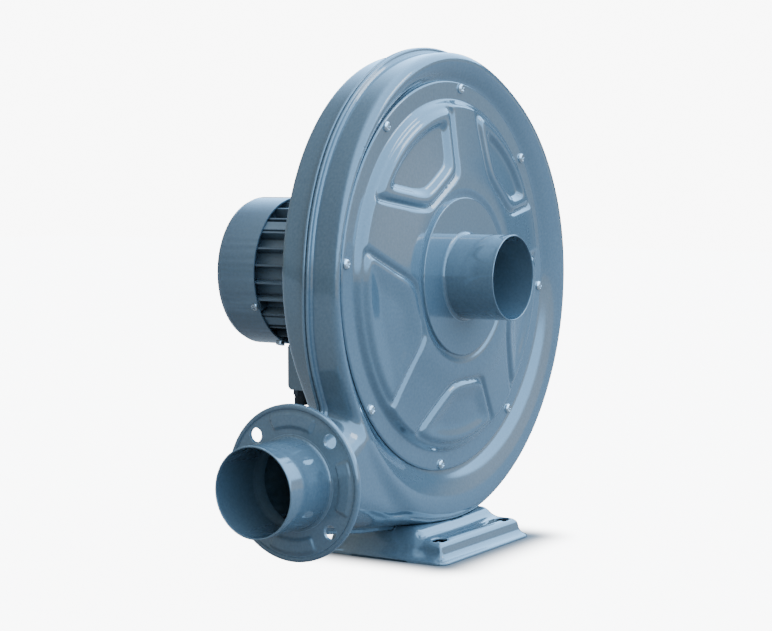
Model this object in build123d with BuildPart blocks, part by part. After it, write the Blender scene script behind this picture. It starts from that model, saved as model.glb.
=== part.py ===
from build123d import *
from math import asin, atan2, cos, degrees, radians, sin
import os

os.makedirs("parts", exist_ok=True)

# Centrifugal fan with a pressed scroll casing, a direct motor and a pressed foot.
# Axes: +Z up, the shaft lies along Y, the inlet looks towards -Y,
# the outlet looks towards -X. The origin is on the floor, under the shaft, at the
# middle of the foot. All sizes in mm.

# Where things stand
axis_z = 245.0
seam_y = 0.0
fit = 0.10
gap = 0.30

# Scroll casing
sheet = 2.0
front_y = -31.2
rear_y = 29.8
shoulder_r = 8.0
heel_r = 6.0
lip_out = 5.0
lip_thick = 3.5

# The scroll's outline: angle, radius at the seam, radius at the rear edge
scroll = [
    (180, 186.5, 185.0), (160, 188.0, 187.0), (135, 193.0, 191.5), (110, 197.5, 195.5),
    (85, 200.0, 198.5), (60, 201.0, 201.0), (35, 209.5, 209.5), (12, 216.5, 216.5),
    (-12, 219.5, 219.5), (-36, 220.0, 220.0), (-62, 221.0, 221.0), (-84, 222.0, 222.0),
    (-106, 218.0, 216.0), (-128, 204.0, 190.0), (-147, 195.0, 180.5), (-164, 191.0, 182.5),
]

# Outlet neck, pipe and flange
outlet_y = 0.0
outlet_z = axis_z - 159.3
neck_end_x = -206.3
neck_end_r = 39.5
neck_collar = 10.0
neck_mid = (-112.0, axis_z - 94.0, axis_z - 212.5, 22.0)
neck_root = (-34.0, axis_z - 150.0, axis_z - 219.0, 8.0)
pipe_out_r = 37.4
pipe_wall = 1.5
pipe_mouth_x = -263.4
pipe_inner_x = -200.0
pipe_neck = 1.0
flange_t = 3.0
flange_r = 64.7
flange_pcd = 104.0
flange_hole_r = 6.0
flange_arc_rise = 0.9
flange_arc_sweep = 46.0
flange_arc_out_r = 57.0
flange_arc_in_r = 46.5
flange_holes = 4
bead_r = 2.3
bead_proud = 1.6

# Cover and its recess in the casing
cover_r = 174.3
cover_y = -25.2
cover_sheet = 1.5
cover_step_r = 154.0
cover_step = 3.4
cover_step_run = 4.0
cover_shoulder_r = 143.0
cover_shoulder = 7.2
cover_crown_r = 88.0
cover_rise = 13.0
gasket_t = 1.0
opening_r = 160.0
recess_r = cover_r + 1.4
crest_x = 12.0
crest_dz = -4.0
crest_r = 190.0
cover_screw_pcd = 338.0
cover_screws_n = 8
cover_screw_phase = 84.0
cover_screw_r = 2.5
spokes = [157.0, 81.0, 9.0, -54.0, -121.0]
spoke_half = 26.0
panel_in_r = 94.0
panel_out_r = 142.0
panel_depth = 1.5
panel_draft = 55.0
pan_inset = 13.0
pan_depth = 4.6
pan_draft = 52.0
pan_corner_r = 7.0
panel_corner_r = 10.0
cover_screw_head_r = 4.6

# Inlet
boss_r = 70.5
boss_t = 2.4
inlet_r = 38.0
inlet_wall = 1.5
inlet_mouth_y = -89.8
weld_r = 2.6
nozzle_flange_r = 60.0
nozzle_tip_y = -16.0

# Foot
foot_x = 158.0
foot_y = 131.0
foot_sheet = 2.5
foot_h = 18.0
foot_corner_r = 10.0
foot_draft = 8.0
foot_round = 6.0
foot_flare = 5.0
foot_flare_h = 5.0
flare_draft = 45.0
hump_x = 141.0
hump_y = 72.0
hump_h = 9.5
hump_root = 3.0
hump_corner_r = 12.0
hump_draft = 32.0
hump_round = 4.0
hump_cut = 3.0
foot_slot_x = 112.0
foot_slot_y = 94.0
slot_len = 16.0
slot_w = 11.0

# Impeller
wheel_r = 152.0
wheel_back_y = 20.0
wheel_sheet = 1.5
eye_r = 44.0
shroud_eye_y = -19.0
shroud_rim_y = -6.0
blades_n = 10
blade_in_r = 52.0
blade_t = 1.5
hub_r = 24.0
hub_barrel_r = 14.0
hub_flange_t = 5.0
hub_front_y = -6.0
hub_rear_y = 25.0
hub_rivet_pcr = 19.0
rivet_r = 2.0
key_w = 5.0
key_proud = 2.0
key_y0 = -2.0
key_y1 = 22.0
washer_t = 2.0
nose_bolt_r = 3.0
nose_bolt_head_r = 5.8
nose_bolt_head_h = 4.0

# Shaft line
shaft_r = 7.5
shaft_nose_r = 7.0
shaft_front_y = -4.0
shaft_rear_y = 182.0
bearing_out_r = 17.5
bearing_w = 11.0
race_t = 2.6
cage_half = 2.8
cage_t = 1.6
shaft_core_r = 10.0
balls_n = 8
front_bearing_y = 36.6
rear_bearing_y = 154.5

# Motor
shield_face_y = rear_y
front_shield_t = 12.0
frame_front_y = shield_face_y + front_shield_t
frame_rear_y = 149.0
frame_bore_r = 50.0
frame_wall_r = 56.5
fin_tip_r = 67.0
fins_n = 26
fin_t = 1.9
fin_front_y = frame_front_y + 4.0
fin_rear_y = frame_rear_y - 2.0
core_front_y = 62.0
core_rear_y = 124.0
air_gap = 0.5
rotor_core_r = 30.0
rear_shield_t = 13.0
rear_shield_r = 66.0
cowl_r = 69.4
cowl_sheet = 1.5
cowl_front_y = 142.2
cowl_rear_y = 187.0
cowl_round = 6.0
cowl_screw_r = 2.0
cowl_screw_angles = [206, 326, 86]
cowl_lug_w = 10.0
cowl_lug_l = 8.0
cowl_lug_y = 145.0
cowl_screw_y = 146.0
tail_fan_y0 = 167.0
tail_fan_y1 = 180.0
front_shield_r = 66.0
spigot_l = 4.0
tie_boss_w = 9.0
wave_t = 0.8
pad_w = 50.0
pad_l = 44.0
wire_hole = 20.0
slot_in_r = 33.0
slot_out_r = 43.5
stator_slots = 24
stator_slot_w = 3.6
winding_l = 12.0
earth_angle = 251
earth_head_r = 4.2
earth_head_h = 3.0
tail_fan_r = 60.0
tail_fan_blades = 8
tail_fan_blade_t = 2.2
tail_fan_hub_r = 13.0
tail_fan_disc_t = 2.5
rivets_n = 6
rivet_head_h = 1.2
rivet_head_r = 3.4
tie_angles = [41, 139, 221, 319]
tie_pcr = 60.5
tie_r = 2.0
motor_bolt_pcr = 58.0
motor_bolt_r = 3.0
seal_out_r = 14.0

# Terminal box
box_x0 = -45.0
box_x1 = 28.0
box_y0 = 62.0
box_y1 = 122.0
box_z0 = axis_z - 107.0
box_z1 = axis_z - 63.5
box_wall = 3.0
box_lid_t = 3.0
lid_seal_t = 1.0
gland_x = -35.0
gland_y = 112.0
gland_r = 8.0
gland_thread_r = 6.0
gland_bore_r = 4.0
lid_screw_r = 1.75
lid_boss_l = 12.0
lid_boss_w = 9.0
lid_screw_inset = 6.0
lid_screw_head_r = 3.6
lid_screw_head_h = 2.0
box_round = 5.0
block_t = 10.0
block_w = 40.0
block_h = 22.0
barrier_t = 6.0
barrier_w = 9.0
barrier_h = 18.0
stud_pitch = 13.0
stud_rise = 5.0
stud_r = 2.0
stud_l = 7.0


def at_y(y):
    return Plane((0, y, axis_z), x_dir=(1, 0, 0), z_dir=(0, -1, 0))


def at_x(x):
    return Plane((x, outlet_y, outlet_z), x_dir=(0, 1, 0), z_dir=(1, 0, 0))


def ring_y(y0, y1, r_out, r_in=0.0):
    with BuildPart() as made:
        with BuildSketch(at_y(y1)):
            Circle(r_out)
            if r_in > 0:
                Circle(r_in, mode=Mode.SUBTRACT)
        extrude(amount=y1 - y0)
    return made.part


def lathe(points):
    # points are (radius, y) pairs of a closed profile turned about the shaft line
    with BuildPart() as made:
        with BuildSketch(Plane((0, 0, axis_z), x_dir=(1, 0, 0), z_dir=(0, 0, 1))):
            with BuildLine():
                Polyline(*points, close=True)
            make_face()
        revolve(axis=Axis((0, 0, axis_z), (0, 1, 0)))
    return made.part


def polar(r, a):
    return (r * cos(radians(a)), r * sin(radians(a)))


def scroll_body(grow, front_round, rear_round):
    # the scroll's outline, grown by the given amount, joined with the outlet neck
    y0 = front_y - grow
    y1 = rear_y + grow
    with BuildPart() as front_half:
        with BuildSketch(at_y(seam_y)):
            with BuildLine():
                Spline(*[polar(seam_r + grow, a) for a, seam_r, rear_r in scroll], periodic=True)
            make_face()
        extrude(amount=seam_y - y0)
        if front_round > 0:
            fillet(front_half.edges().group_by(Axis.Y)[0], radius=front_round)
    with BuildPart() as rear_half:
        with BuildSketch(at_y(seam_y)):
            with BuildLine():
                Spline(*[polar(seam_r + grow, a) for a, seam_r, rear_r in scroll], periodic=True)
            make_face()
        with BuildSketch(at_y(y1)):
            with BuildLine():
                Spline(*[polar(rear_r + grow, a) for a, seam_r, rear_r in scroll], periodic=True)
            make_face()
        loft(ruled=True)
        if rear_round > 0:
            fillet(rear_half.edges().group_by(Axis.Y)[-1], radius=rear_round)
    with BuildPart() as collar:
        with BuildSketch(at_x(neck_end_x)):
            Circle(neck_end_r + grow)
        extrude(amount=neck_collar)
    with BuildPart() as neck:
        with BuildSketch(at_x(neck_end_x + neck_collar)):
            Circle(neck_end_r + grow)
        for x, top, bottom, r in (neck_mid, neck_root):
            with BuildSketch(Plane((x, 0, 0), x_dir=(0, 1, 0), z_dir=(1, 0, 0))):
                with Locations(((y0 + y1) / 2, (top + bottom) / 2)):
                    RectangleRounded(y1 - y0 - 0.4, top - bottom + 2 * grow, r + grow)
        loft(ruled=True)
    return front_half.part + rear_half.part + neck.part + collar.part


def save(builder, name):
    builder.part.label = name
    export_step(builder.part, "parts/" + name + ".step")


def turned(radius, angle, y):
    # a place on a circle round the shaft line, at the given y
    return Location((radius * cos(radians(angle)), y, axis_z + radius * sin(radians(angle))))


def outward(angle, y, radius):
    # a place round the shaft line whose local X points away from it
    return Plane((0, y, axis_z)) * Location((0, 0, 0), (0, -angle, 0)) * Location((radius, 0, 0))


def drilled(angle, y, radius):
    # a place round the shaft line whose local Z points away from it
    return Plane((0, y, axis_z)) * Location((0, 0, 0), (0, 90 - angle, 0)) * Location((0, 0, radius))


def rod_y(places, y0, y1, r):
    # equal rods along Y whose middles stand at (radius, angle) pairs
    with BuildPart() as made:
        with BuildSketch(at_y(y1)):
            with Locations(*[polar(*place) for place in places]):
                Circle(r)
        extrude(amount=y1 - y0)
    return made.part


def pan_screws(places, y_seat, head_r, head_h, shank_r, y_tip):
    with BuildPart() as made:
        add(rod_y(places, y_seat - head_h, y_seat, head_r))
        fillet(made.edges().group_by(Axis.Y)[0], radius=head_h * 0.6)
        add(rod_y(places, y_seat, y_tip, shank_r))
    return made.part


def slab(y0, y1):
    with BuildPart() as made:
        with Locations((0, (y0 + y1) / 2, axis_z)):
            Box(1400, y1 - y0, 1400)
    return made.part


# The casing: outer mass, air space and seam lips
outer_mass = scroll_body(0.0, shoulder_r, heel_r)
inner_mass = scroll_body(-sheet, shoulder_r - sheet, heel_r - sheet)
lip_mass = scroll_body(lip_out, 0, 0)
seat_y = cover_y + cover_sheet + gasket_t

with BuildPart() as recess:
    with BuildSketch(at_y(seat_y)):
        Circle(recess_r)
    with BuildSketch(at_y(front_y)):
        with Locations((crest_x, crest_dz)):
            Circle(crest_r)
    loft()

with BuildPart() as crest_clear:
    with BuildSketch(at_y(front_y)):
        with Locations((crest_x, crest_dz)):
            Circle(crest_r)
    extrude(amount=40)

with BuildPart() as recess_plug:
    with BuildSketch(at_y(seat_y + sheet)):
        Circle(recess_r + sheet)
    with BuildSketch(at_y(front_y + sheet)):
        with Locations((crest_x, crest_dz)):
            Circle(crest_r + sheet)
    loft()
    with BuildSketch(at_y(front_y + sheet)):
        with Locations((crest_x, crest_dz)):
            Circle(crest_r + sheet)
    extrude(amount=40)

cover_screw_places = [
    (cover_screw_pcd / 2, cover_screw_phase + k * 360 / cover_screws_n) for k in range(cover_screws_n)
]
flange_bolt_places = [(motor_bolt_pcr, 90 * k) for k in range(4)]

with BuildPart() as front_shell:
    add(outer_mass)
    add(slab(-400, seam_y), mode=Mode.INTERSECT)
    add(recess.part, mode=Mode.SUBTRACT)
    add(crest_clear.part, mode=Mode.SUBTRACT)
    add(inner_mass - recess_plug.part, mode=Mode.SUBTRACT)
    add(ring_y(seat_y - 1, seat_y + sheet + 1, opening_r), mode=Mode.SUBTRACT)
    add(rod_y(cover_screw_places, seat_y - 1, seat_y + sheet + 1, cover_screw_r + fit), mode=Mode.SUBTRACT)
    add((lip_mass & slab(seam_y - lip_thick, seam_y)) - outer_mass)
save(front_shell, "front_shell")

with BuildPart() as rear_shell:
    add(outer_mass)
    add(slab(seam_y, 400), mode=Mode.INTERSECT)
    add(inner_mass, mode=Mode.SUBTRACT)
    add(ring_y(rear_y - sheet - 1, rear_y + 1, seal_out_r), mode=Mode.SUBTRACT)
    add(rod_y(flange_bolt_places, rear_y - sheet - 1, rear_y + 1, motor_bolt_r + fit), mode=Mode.SUBTRACT)
    add((lip_mass & slab(seam_y, seam_y + lip_thick)) - outer_mass)
save(rear_shell, "rear_shell")


# The cover: a pressed disc with a step, a crown, spokes and sunk panels
inlet_seat_r = inlet_r - pipe_neck
crown_y = cover_y - cover_rise
cover_back_y = cover_y + cover_sheet


def cover_mass():
    with BuildPart() as made:
        add(lathe([
            (0, crown_y), (cover_crown_r, crown_y), (cover_shoulder_r, cover_y - cover_shoulder),
            (cover_step_r, cover_y - cover_step), (cover_step_r + cover_step_run, cover_y),
            (cover_r, cover_y), (cover_r, cover_back_y), (0, cover_back_y),
        ]))
    return made.part


# The crown's slope between its flat top and its shoulder
slope_run = cover_shoulder_r - cover_crown_r
slope_drop = cover_rise - cover_shoulder
slope = degrees(atan2(slope_drop, slope_run))
slope_mid_r = (cover_crown_r + cover_shoulder_r) / 2
slope_mid_y = crown_y + slope_drop / 2


def slope_plane(angle, depth):
    # a plane that lies along the crown's slope in the middle of a panel, sunk by depth
    run = cos(radians(slope))
    drop = sin(radians(slope))
    c = cos(radians(angle))
    z = sin(radians(angle))
    r = slope_mid_r - depth * drop
    origin = (r * c, slope_mid_y + depth * run, axis_z + r * z)
    return Plane(origin, x_dir=(run * c, drop, run * z), z_dir=(drop * c, -run, drop * z))


def sunk_panel(a0, a1, inset, depth, draft, corner_r):
    # a flat-floored panel between the spokes at a0 and a1, drawn in from their edges by inset
    mid = (a0 + a1) / 2
    r_in = panel_in_r + inset
    r_out = panel_out_r - inset
    in_half = (a1 - a0) / 2 - degrees(asin((spoke_half + inset) / r_in))
    out_half = (a1 - a0) / 2 - degrees(asin((spoke_half + inset) / r_out))

    def at(r, a):
        x, y = polar(r, a)
        return (x - slope_mid_r, y)

    with BuildPart() as made:
        with BuildSketch(slope_plane(mid, depth)):
            with BuildLine():
                ThreePointArc(at(r_out, -out_half), at(r_out, 0), at(r_out, out_half))
                Line(at(r_out, out_half), at(r_in, in_half))
                Line(at(r_in, in_half), at(r_in, -in_half))
                Line(at(r_in, -in_half), at(r_out, -out_half))
            face = make_face()
            fillet(face.vertices(), radius=corner_r)
        extrude(amount=depth + 4, taper=-draft)
    return made.part


def pressed_cover():
    mass = cover_mass()
    ends = spokes[1:] + [spokes[0] - 360]
    for a1, a0 in zip(spokes, ends):
        mass = mass - sunk_panel(a0, a1, 0, panel_depth, panel_draft, panel_corner_r)
        mass = mass - sunk_panel(a0, a1, pan_inset, pan_depth, pan_draft, pan_corner_r)
    return mass


cover_skin = pressed_cover()

with BuildPart() as front_cover:
    add(cover_skin)
    add(cover_skin.moved(Location((0, cover_sheet, 0))), mode=Mode.SUBTRACT)
    add(ring_y(crown_y - 1, cover_back_y + 1, inlet_seat_r + fit), mode=Mode.SUBTRACT)
    add(rod_y(cover_screw_places, cover_y - 1, cover_back_y + 1, cover_screw_r + fit), mode=Mode.SUBTRACT)
save(front_cover, "front_cover")

with BuildPart() as cover_gasket:
    add(ring_y(cover_back_y, seat_y, cover_r, opening_r + 1))
    add(rod_y(cover_screw_places, cover_back_y - 1, seat_y + 1, cover_screw_r + fit), mode=Mode.SUBTRACT)
save(cover_gasket, "cover_gasket")

with BuildPart() as cover_screws:
    add(pan_screws(cover_screw_places, cover_y, cover_screw_head_r, 2.6, cover_screw_r, seat_y + 9))
save(cover_screws, "cover_screws")

# Inlet: the pipe's inner end is swaged to sit in the plate behind its weld
with BuildPart() as inlet_plate:
    add(ring_y(crown_y - boss_t, crown_y, boss_r, inlet_seat_r + fit))
save(inlet_plate, "inlet_plate")

inlet_inner_y = crown_y + 8.0
inlet_root_y = crown_y - boss_t
with BuildPart() as inlet_pipe:
    add(lathe([
        (inlet_r, inlet_mouth_y), (inlet_r, inlet_root_y - weld_r), (inlet_seat_r, inlet_root_y - weld_r),
        (inlet_seat_r, inlet_inner_y), (inlet_seat_r - inlet_wall, inlet_inner_y),
        (inlet_seat_r - inlet_wall, inlet_root_y - weld_r - pipe_neck),
        (inlet_r - inlet_wall, inlet_root_y - weld_r - 2 * pipe_neck), (inlet_r - inlet_wall, inlet_mouth_y),
    ]))
save(inlet_pipe, "inlet_pipe")

with BuildPart() as inlet_weld:
    add(lathe([
        (inlet_seat_r + fit, inlet_root_y), (inlet_r + weld_r, inlet_root_y),
        (inlet_r - gap, inlet_root_y - weld_r + gap), (inlet_seat_r + fit, inlet_root_y - weld_r + gap),
    ]))
save(inlet_weld, "inlet_weld")

nozzle_in = inlet_r + fit + 0.3
nozzle_y = crown_y + cover_sheet
with BuildPart() as inlet_nozzle:
    add(lathe([
        (nozzle_in, nozzle_y), (nozzle_flange_r, nozzle_y), (nozzle_flange_r, nozzle_y + cover_sheet),
        (nozzle_in + cover_sheet, nozzle_y + cover_sheet), (nozzle_in + cover_sheet, nozzle_tip_y),
        (nozzle_in, nozzle_tip_y),
    ]))
save(inlet_nozzle, "inlet_nozzle")


# Outlet
def ring_x(x0, x1, r_out, r_in):
    with BuildPart() as made:
        with BuildSketch(at_x(x0)):
            Circle(r_out)
            Circle(r_in, mode=Mode.SUBTRACT)
        extrude(amount=x1 - x0)
    return made.part


def turn_x(points):
    # points are (x, radius) pairs of a closed profile turned about the outlet's axis
    with BuildPart() as made:
        with BuildSketch(Plane((0, outlet_y, outlet_z), x_dir=(1, 0, 0), z_dir=(0, 0, 1))):
            with BuildLine():
                Polyline(*points, close=True)
            make_face()
        revolve(axis=Axis((0, outlet_y, outlet_z), (1, 0, 0)))
    return made.part


flange_face_x = neck_end_x - flange_t
outlet_seat_r = pipe_out_r - pipe_neck
outlet_root_x = flange_face_x
with BuildPart() as outlet_pipe:
    add(turn_x([
        (pipe_mouth_x, pipe_out_r), (outlet_root_x - weld_r, pipe_out_r),
        (outlet_root_x - weld_r, outlet_seat_r), (pipe_inner_x, outlet_seat_r),
        (pipe_inner_x, outlet_seat_r - pipe_wall),
        (outlet_root_x - weld_r - pipe_neck, outlet_seat_r - pipe_wall),
        (outlet_root_x - weld_r - 2 * pipe_neck, pipe_out_r - pipe_wall),
        (pipe_mouth_x, pipe_out_r - pipe_wall),
    ]))
save(outlet_pipe, "outlet_pipe")


def flange_arc(middle):
    # a raised arc on the outlet flange, between two holes
    start = middle - flange_arc_sweep / 2
    across = flange_arc_out_r - flange_arc_in_r
    with BuildPart() as made:
        side = (0, sin(radians(start)), -cos(radians(start)))
        with BuildSketch(Plane((0, outlet_y, outlet_z), x_dir=(1, 0, 0), z_dir=side)):
            with Locations((flange_face_x - flange_arc_rise / 2, (flange_arc_out_r + flange_arc_in_r) / 2)):
                Rectangle(flange_arc_rise, across)
        revolve(axis=Axis((0, outlet_y, outlet_z), (1, 0, 0)), revolution_arc=flange_arc_sweep)
    return made.part


with BuildPart() as outlet_flange:
    add(ring_x(flange_face_x, neck_end_x, flange_r - bead_r, outlet_seat_r + fit))
    with BuildSketch(Plane((0, outlet_y, outlet_z), x_dir=(1, 0, 0), z_dir=(0, 0, 1))):
        with Locations((flange_face_x + bead_r - bead_proud, flange_r - bead_r)):
            Circle(bead_r)
    revolve(axis=Axis((0, outlet_y, outlet_z), (1, 0, 0)))
    for k in range(flange_holes):
        add(flange_arc(90 * k))
    with BuildSketch(at_x(flange_face_x - 1)):
        with PolarLocations(flange_pcd / 2, flange_holes, start_angle=45):
            Circle(flange_hole_r)
    extrude(amount=flange_t + 2, mode=Mode.SUBTRACT)
save(outlet_flange, "outlet_flange")

with BuildPart() as outlet_weld:
    add(turn_x([
        (outlet_root_x, outlet_seat_r + fit), (outlet_root_x, pipe_out_r + weld_r),
        (outlet_root_x - weld_r + gap, pipe_out_r - gap),
        (outlet_root_x - weld_r + gap, outlet_seat_r + fit),
    ]))
save(outlet_weld, "outlet_weld")


# Foot: a pressed dish with a flared edge, a land with slots and a hump under the scroll
def foot_mass(less):
    top = foot_h - less
    with BuildPart() as made:
        if less == 0:
            with BuildSketch():
                RectangleRounded(foot_x, foot_y, foot_corner_r)
            extrude(amount=foot_flare_h, taper=flare_draft)
        with BuildSketch():
            RectangleRounded(
                foot_x - 2 * foot_flare - 2 * less, foot_y - 2 * foot_flare - 2 * less, foot_corner_r - less
            )
        extrude(amount=top, taper=foot_draft)
        fillet(made.edges().group_by(Axis.Z)[-1], radius=foot_round - less)
        hump_top = hump_h if less == 0 else hump_h - hump_cut
        with BuildSketch(Plane.XY.offset(top - hump_root)):
            RectangleRounded(hump_x - 2 * less, hump_y - 2 * less, hump_corner_r - less)
        extrude(amount=hump_top + hump_root, taper=hump_draft)
        fillet(made.edges().group_by(Axis.Z)[-1], radius=hump_round - less)
    return made.part


with BuildPart() as base_foot:
    add(foot_mass(0.0))
    add(foot_mass(foot_sheet), mode=Mode.SUBTRACT)
    with BuildSketch(Plane.XY.offset(foot_h - 2 * foot_sheet)):
        with GridLocations(foot_slot_x, foot_slot_y, 2, 2):
            SlotOverall(slot_len, slot_w)
    extrude(amount=3 * foot_sheet, mode=Mode.SUBTRACT)
    add(outer_mass, mode=Mode.SUBTRACT)
    add(lip_mass & slab(seam_y - lip_thick - gap, seam_y + lip_thick + gap), mode=Mode.SUBTRACT)
save(base_foot, "base_foot")


# Impeller
def blade(angle):
    steps = [(blade_in_r, 0.0), ((blade_in_r + wheel_r) / 2, 17.0), (wheel_r - 1.0, 42.0)]
    one = [polar(r, angle + turn) for r, turn in steps]
    two = [polar(r, angle + turn + degrees(blade_t / r)) for r, turn in steps]
    with BuildPart() as made:
        with BuildSketch(at_y(wheel_back_y)):
            with BuildLine():
                ThreePointArc(*one)
                Line(one[2], two[2])
                ThreePointArc(two[2], two[1], two[0])
                Line(two[0], one[0])
            make_face()
        extrude(amount=wheel_back_y - shroud_eye_y + 5)
    return made.part


rivet_places = [(hub_rivet_pcr, 360 / rivets_n * k) for k in range(rivets_n)]

with BuildPart() as impeller_backplate:
    add(ring_y(wheel_back_y, wheel_back_y + wheel_sheet, wheel_r, hub_barrel_r + fit / 2))
    add(rod_y(rivet_places, wheel_back_y - 1, wheel_back_y + 3, rivet_r), mode=Mode.SUBTRACT)
save(impeller_backplate, "impeller_backplate")

with BuildPart() as impeller_shroud:
    add(lathe([
        (eye_r, shroud_eye_y - 5), (eye_r + wheel_sheet, shroud_eye_y - 5),
        (eye_r + wheel_sheet, shroud_eye_y), (wheel_r, shroud_rim_y),
        (wheel_r, shroud_rim_y + wheel_sheet), (eye_r, shroud_eye_y + wheel_sheet),
    ]))
save(impeller_shroud, "impeller_shroud")

with BuildPart() as impeller_blades:
    add(lathe([
        (blade_in_r - 5, wheel_back_y), (wheel_r, wheel_back_y), (wheel_r, shroud_rim_y + wheel_sheet),
        (eye_r, shroud_eye_y + wheel_sheet), (eye_r, wheel_back_y),
    ]))
    ring = Part() + [blade(360 / blades_n * k) for k in range(blades_n)]
    add(ring, mode=Mode.INTERSECT)
save(impeller_blades, "impeller_blades")

with BuildPart() as impeller_hub:
    add(lathe([
        (shaft_nose_r + fit / 2, hub_front_y), (hub_barrel_r, hub_front_y),
        (hub_barrel_r, wheel_back_y - hub_flange_t), (hub_r, wheel_back_y - hub_flange_t),
        (hub_r, wheel_back_y), (hub_barrel_r, wheel_back_y),
        (hub_barrel_r, hub_rear_y), (shaft_nose_r + fit / 2, hub_rear_y),
    ]))
    with Locations((0, (hub_front_y + hub_rear_y) / 2, axis_z + shaft_nose_r)):
        Box(key_w + fit, hub_rear_y - hub_front_y, 2 * key_proud + fit, mode=Mode.SUBTRACT)
    add(rod_y(rivet_places, 0, wheel_back_y + 3, rivet_r), mode=Mode.SUBTRACT)
save(impeller_hub, "impeller_hub")

with BuildPart() as impeller_rivets:
    add(rod_y(rivet_places, wheel_back_y - hub_flange_t, wheel_back_y + wheel_sheet, rivet_r))
    front = wheel_back_y - hub_flange_t
    back = wheel_back_y + wheel_sheet
    add(rod_y(rivet_places, front - rivet_head_h, front, rivet_head_r))
    add(rod_y(rivet_places, back, back + rivet_head_h, rivet_head_r))
save(impeller_rivets, "impeller_rivets")

with BuildPart() as impeller_key:
    with Locations((0, (key_y0 + key_y1) / 2, axis_z + shaft_nose_r)):
        Box(key_w, key_y1 - key_y0, 2 * key_proud)
save(impeller_key, "impeller_key")

with BuildPart() as impeller_washer:
    add(ring_y(hub_front_y - washer_t, hub_front_y, hub_barrel_r - 1, nose_bolt_r + fit))
save(impeller_washer, "impeller_washer")

with BuildPart() as impeller_bolt:
    with BuildSketch(at_y(hub_front_y - washer_t)):
        RegularPolygon(nose_bolt_head_r, 6)
    extrude(amount=nose_bolt_head_h)
    add(ring_y(hub_front_y - washer_t, shaft_front_y + 16, nose_bolt_r))
save(impeller_bolt, "impeller_bolt")

# Shaft line
with BuildPart() as motor_shaft:
    add(lathe([
        (0, shaft_front_y), (shaft_nose_r, shaft_front_y), (shaft_nose_r, hub_rear_y), (shaft_r, hub_rear_y),
        (shaft_r, front_bearing_y + bearing_w / 2), (shaft_core_r, front_bearing_y + bearing_w / 2),
        (shaft_core_r, rear_bearing_y - bearing_w / 2), (shaft_r, rear_bearing_y - bearing_w / 2),
        (shaft_r, shaft_rear_y), (0, shaft_rear_y),
    ]))
    add(ring_y(shaft_front_y - 1, shaft_front_y + 18, nose_bolt_r + fit), mode=Mode.SUBTRACT)
    with Locations((0, (key_y0 + key_y1) / 2, axis_z + shaft_nose_r)):
        Box(key_w + fit, key_y1 - key_y0 + 2 * fit, 2 * key_proud + fit, mode=Mode.SUBTRACT)
save(motor_shaft, "motor_shaft")

with BuildPart() as shaft_seal:
    add(ring_y(rear_y - sheet - 1.2, rear_y, seal_out_r - fit, shaft_r + fit))
save(shaft_seal, "shaft_seal")


def bearing_ring(y, r_out, r_in):
    return ring_y(y - bearing_w / 2, y + bearing_w / 2, r_out, r_in)


ball_pcr = (bearing_out_r + shaft_r) / 2
ball_r = (bearing_out_r - shaft_r - 2 * race_t) / 2 - 0.08


def ball_ring(y, grow):
    with BuildPart() as made:
        for k in range(balls_n):
            with Locations(turned(ball_pcr, 360 / balls_n * k, y)):
                Sphere(ball_r + grow)
    return made.part


def cage_ring(y):
    return ring_y(y - cage_half, y + cage_half, ball_pcr + cage_t / 2, ball_pcr - cage_t / 2)


def cage_pockets(y):
    with BuildPart() as made:
        for k in range(balls_n):
            a = 360 / balls_n * k
            with Locations(turned(ball_pcr, a, y) * Location((0, 0, 0), (0, 90 - a, 0))):
                Cylinder(ball_r + 0.08, 3 * cage_t)
    return made.part


with BuildPart() as front_bearing_outer:
    add(bearing_ring(front_bearing_y, bearing_out_r, bearing_out_r - race_t))
save(front_bearing_outer, "front_bearing_outer")

with BuildPart() as front_bearing_inner:
    add(bearing_ring(front_bearing_y, shaft_r + race_t, shaft_r + fit / 10))
save(front_bearing_inner, "front_bearing_inner")

with BuildPart() as front_bearing_balls:
    add(ball_ring(front_bearing_y, 0))
save(front_bearing_balls, "front_bearing_balls")

with BuildPart() as front_bearing_cage:
    add(cage_ring(front_bearing_y))
    add(cage_pockets(front_bearing_y), mode=Mode.SUBTRACT)
save(front_bearing_cage, "front_bearing_cage")

with BuildPart() as rear_bearing_outer:
    add(bearing_ring(rear_bearing_y, bearing_out_r, bearing_out_r - race_t))
save(rear_bearing_outer, "rear_bearing_outer")

with BuildPart() as rear_bearing_inner:
    add(bearing_ring(rear_bearing_y, shaft_r + race_t, shaft_r + fit / 10))
save(rear_bearing_inner, "rear_bearing_inner")

with BuildPart() as rear_bearing_balls:
    add(ball_ring(rear_bearing_y, 0))
save(rear_bearing_balls, "rear_bearing_balls")

with BuildPart() as rear_bearing_cage:
    add(cage_ring(rear_bearing_y))
    add(cage_pockets(rear_bearing_y), mode=Mode.SUBTRACT)
save(rear_bearing_cage, "rear_bearing_cage")

# Motor
rear_shield_y1 = frame_rear_y + rear_shield_t
front_seat_y = front_bearing_y - bearing_w / 2
rear_seat_y = rear_bearing_y + bearing_w / 2
cowl_lug_r = cowl_r - cowl_sheet - 0.6
tie_places = [(tie_pcr, a) for a in tie_angles]

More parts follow.
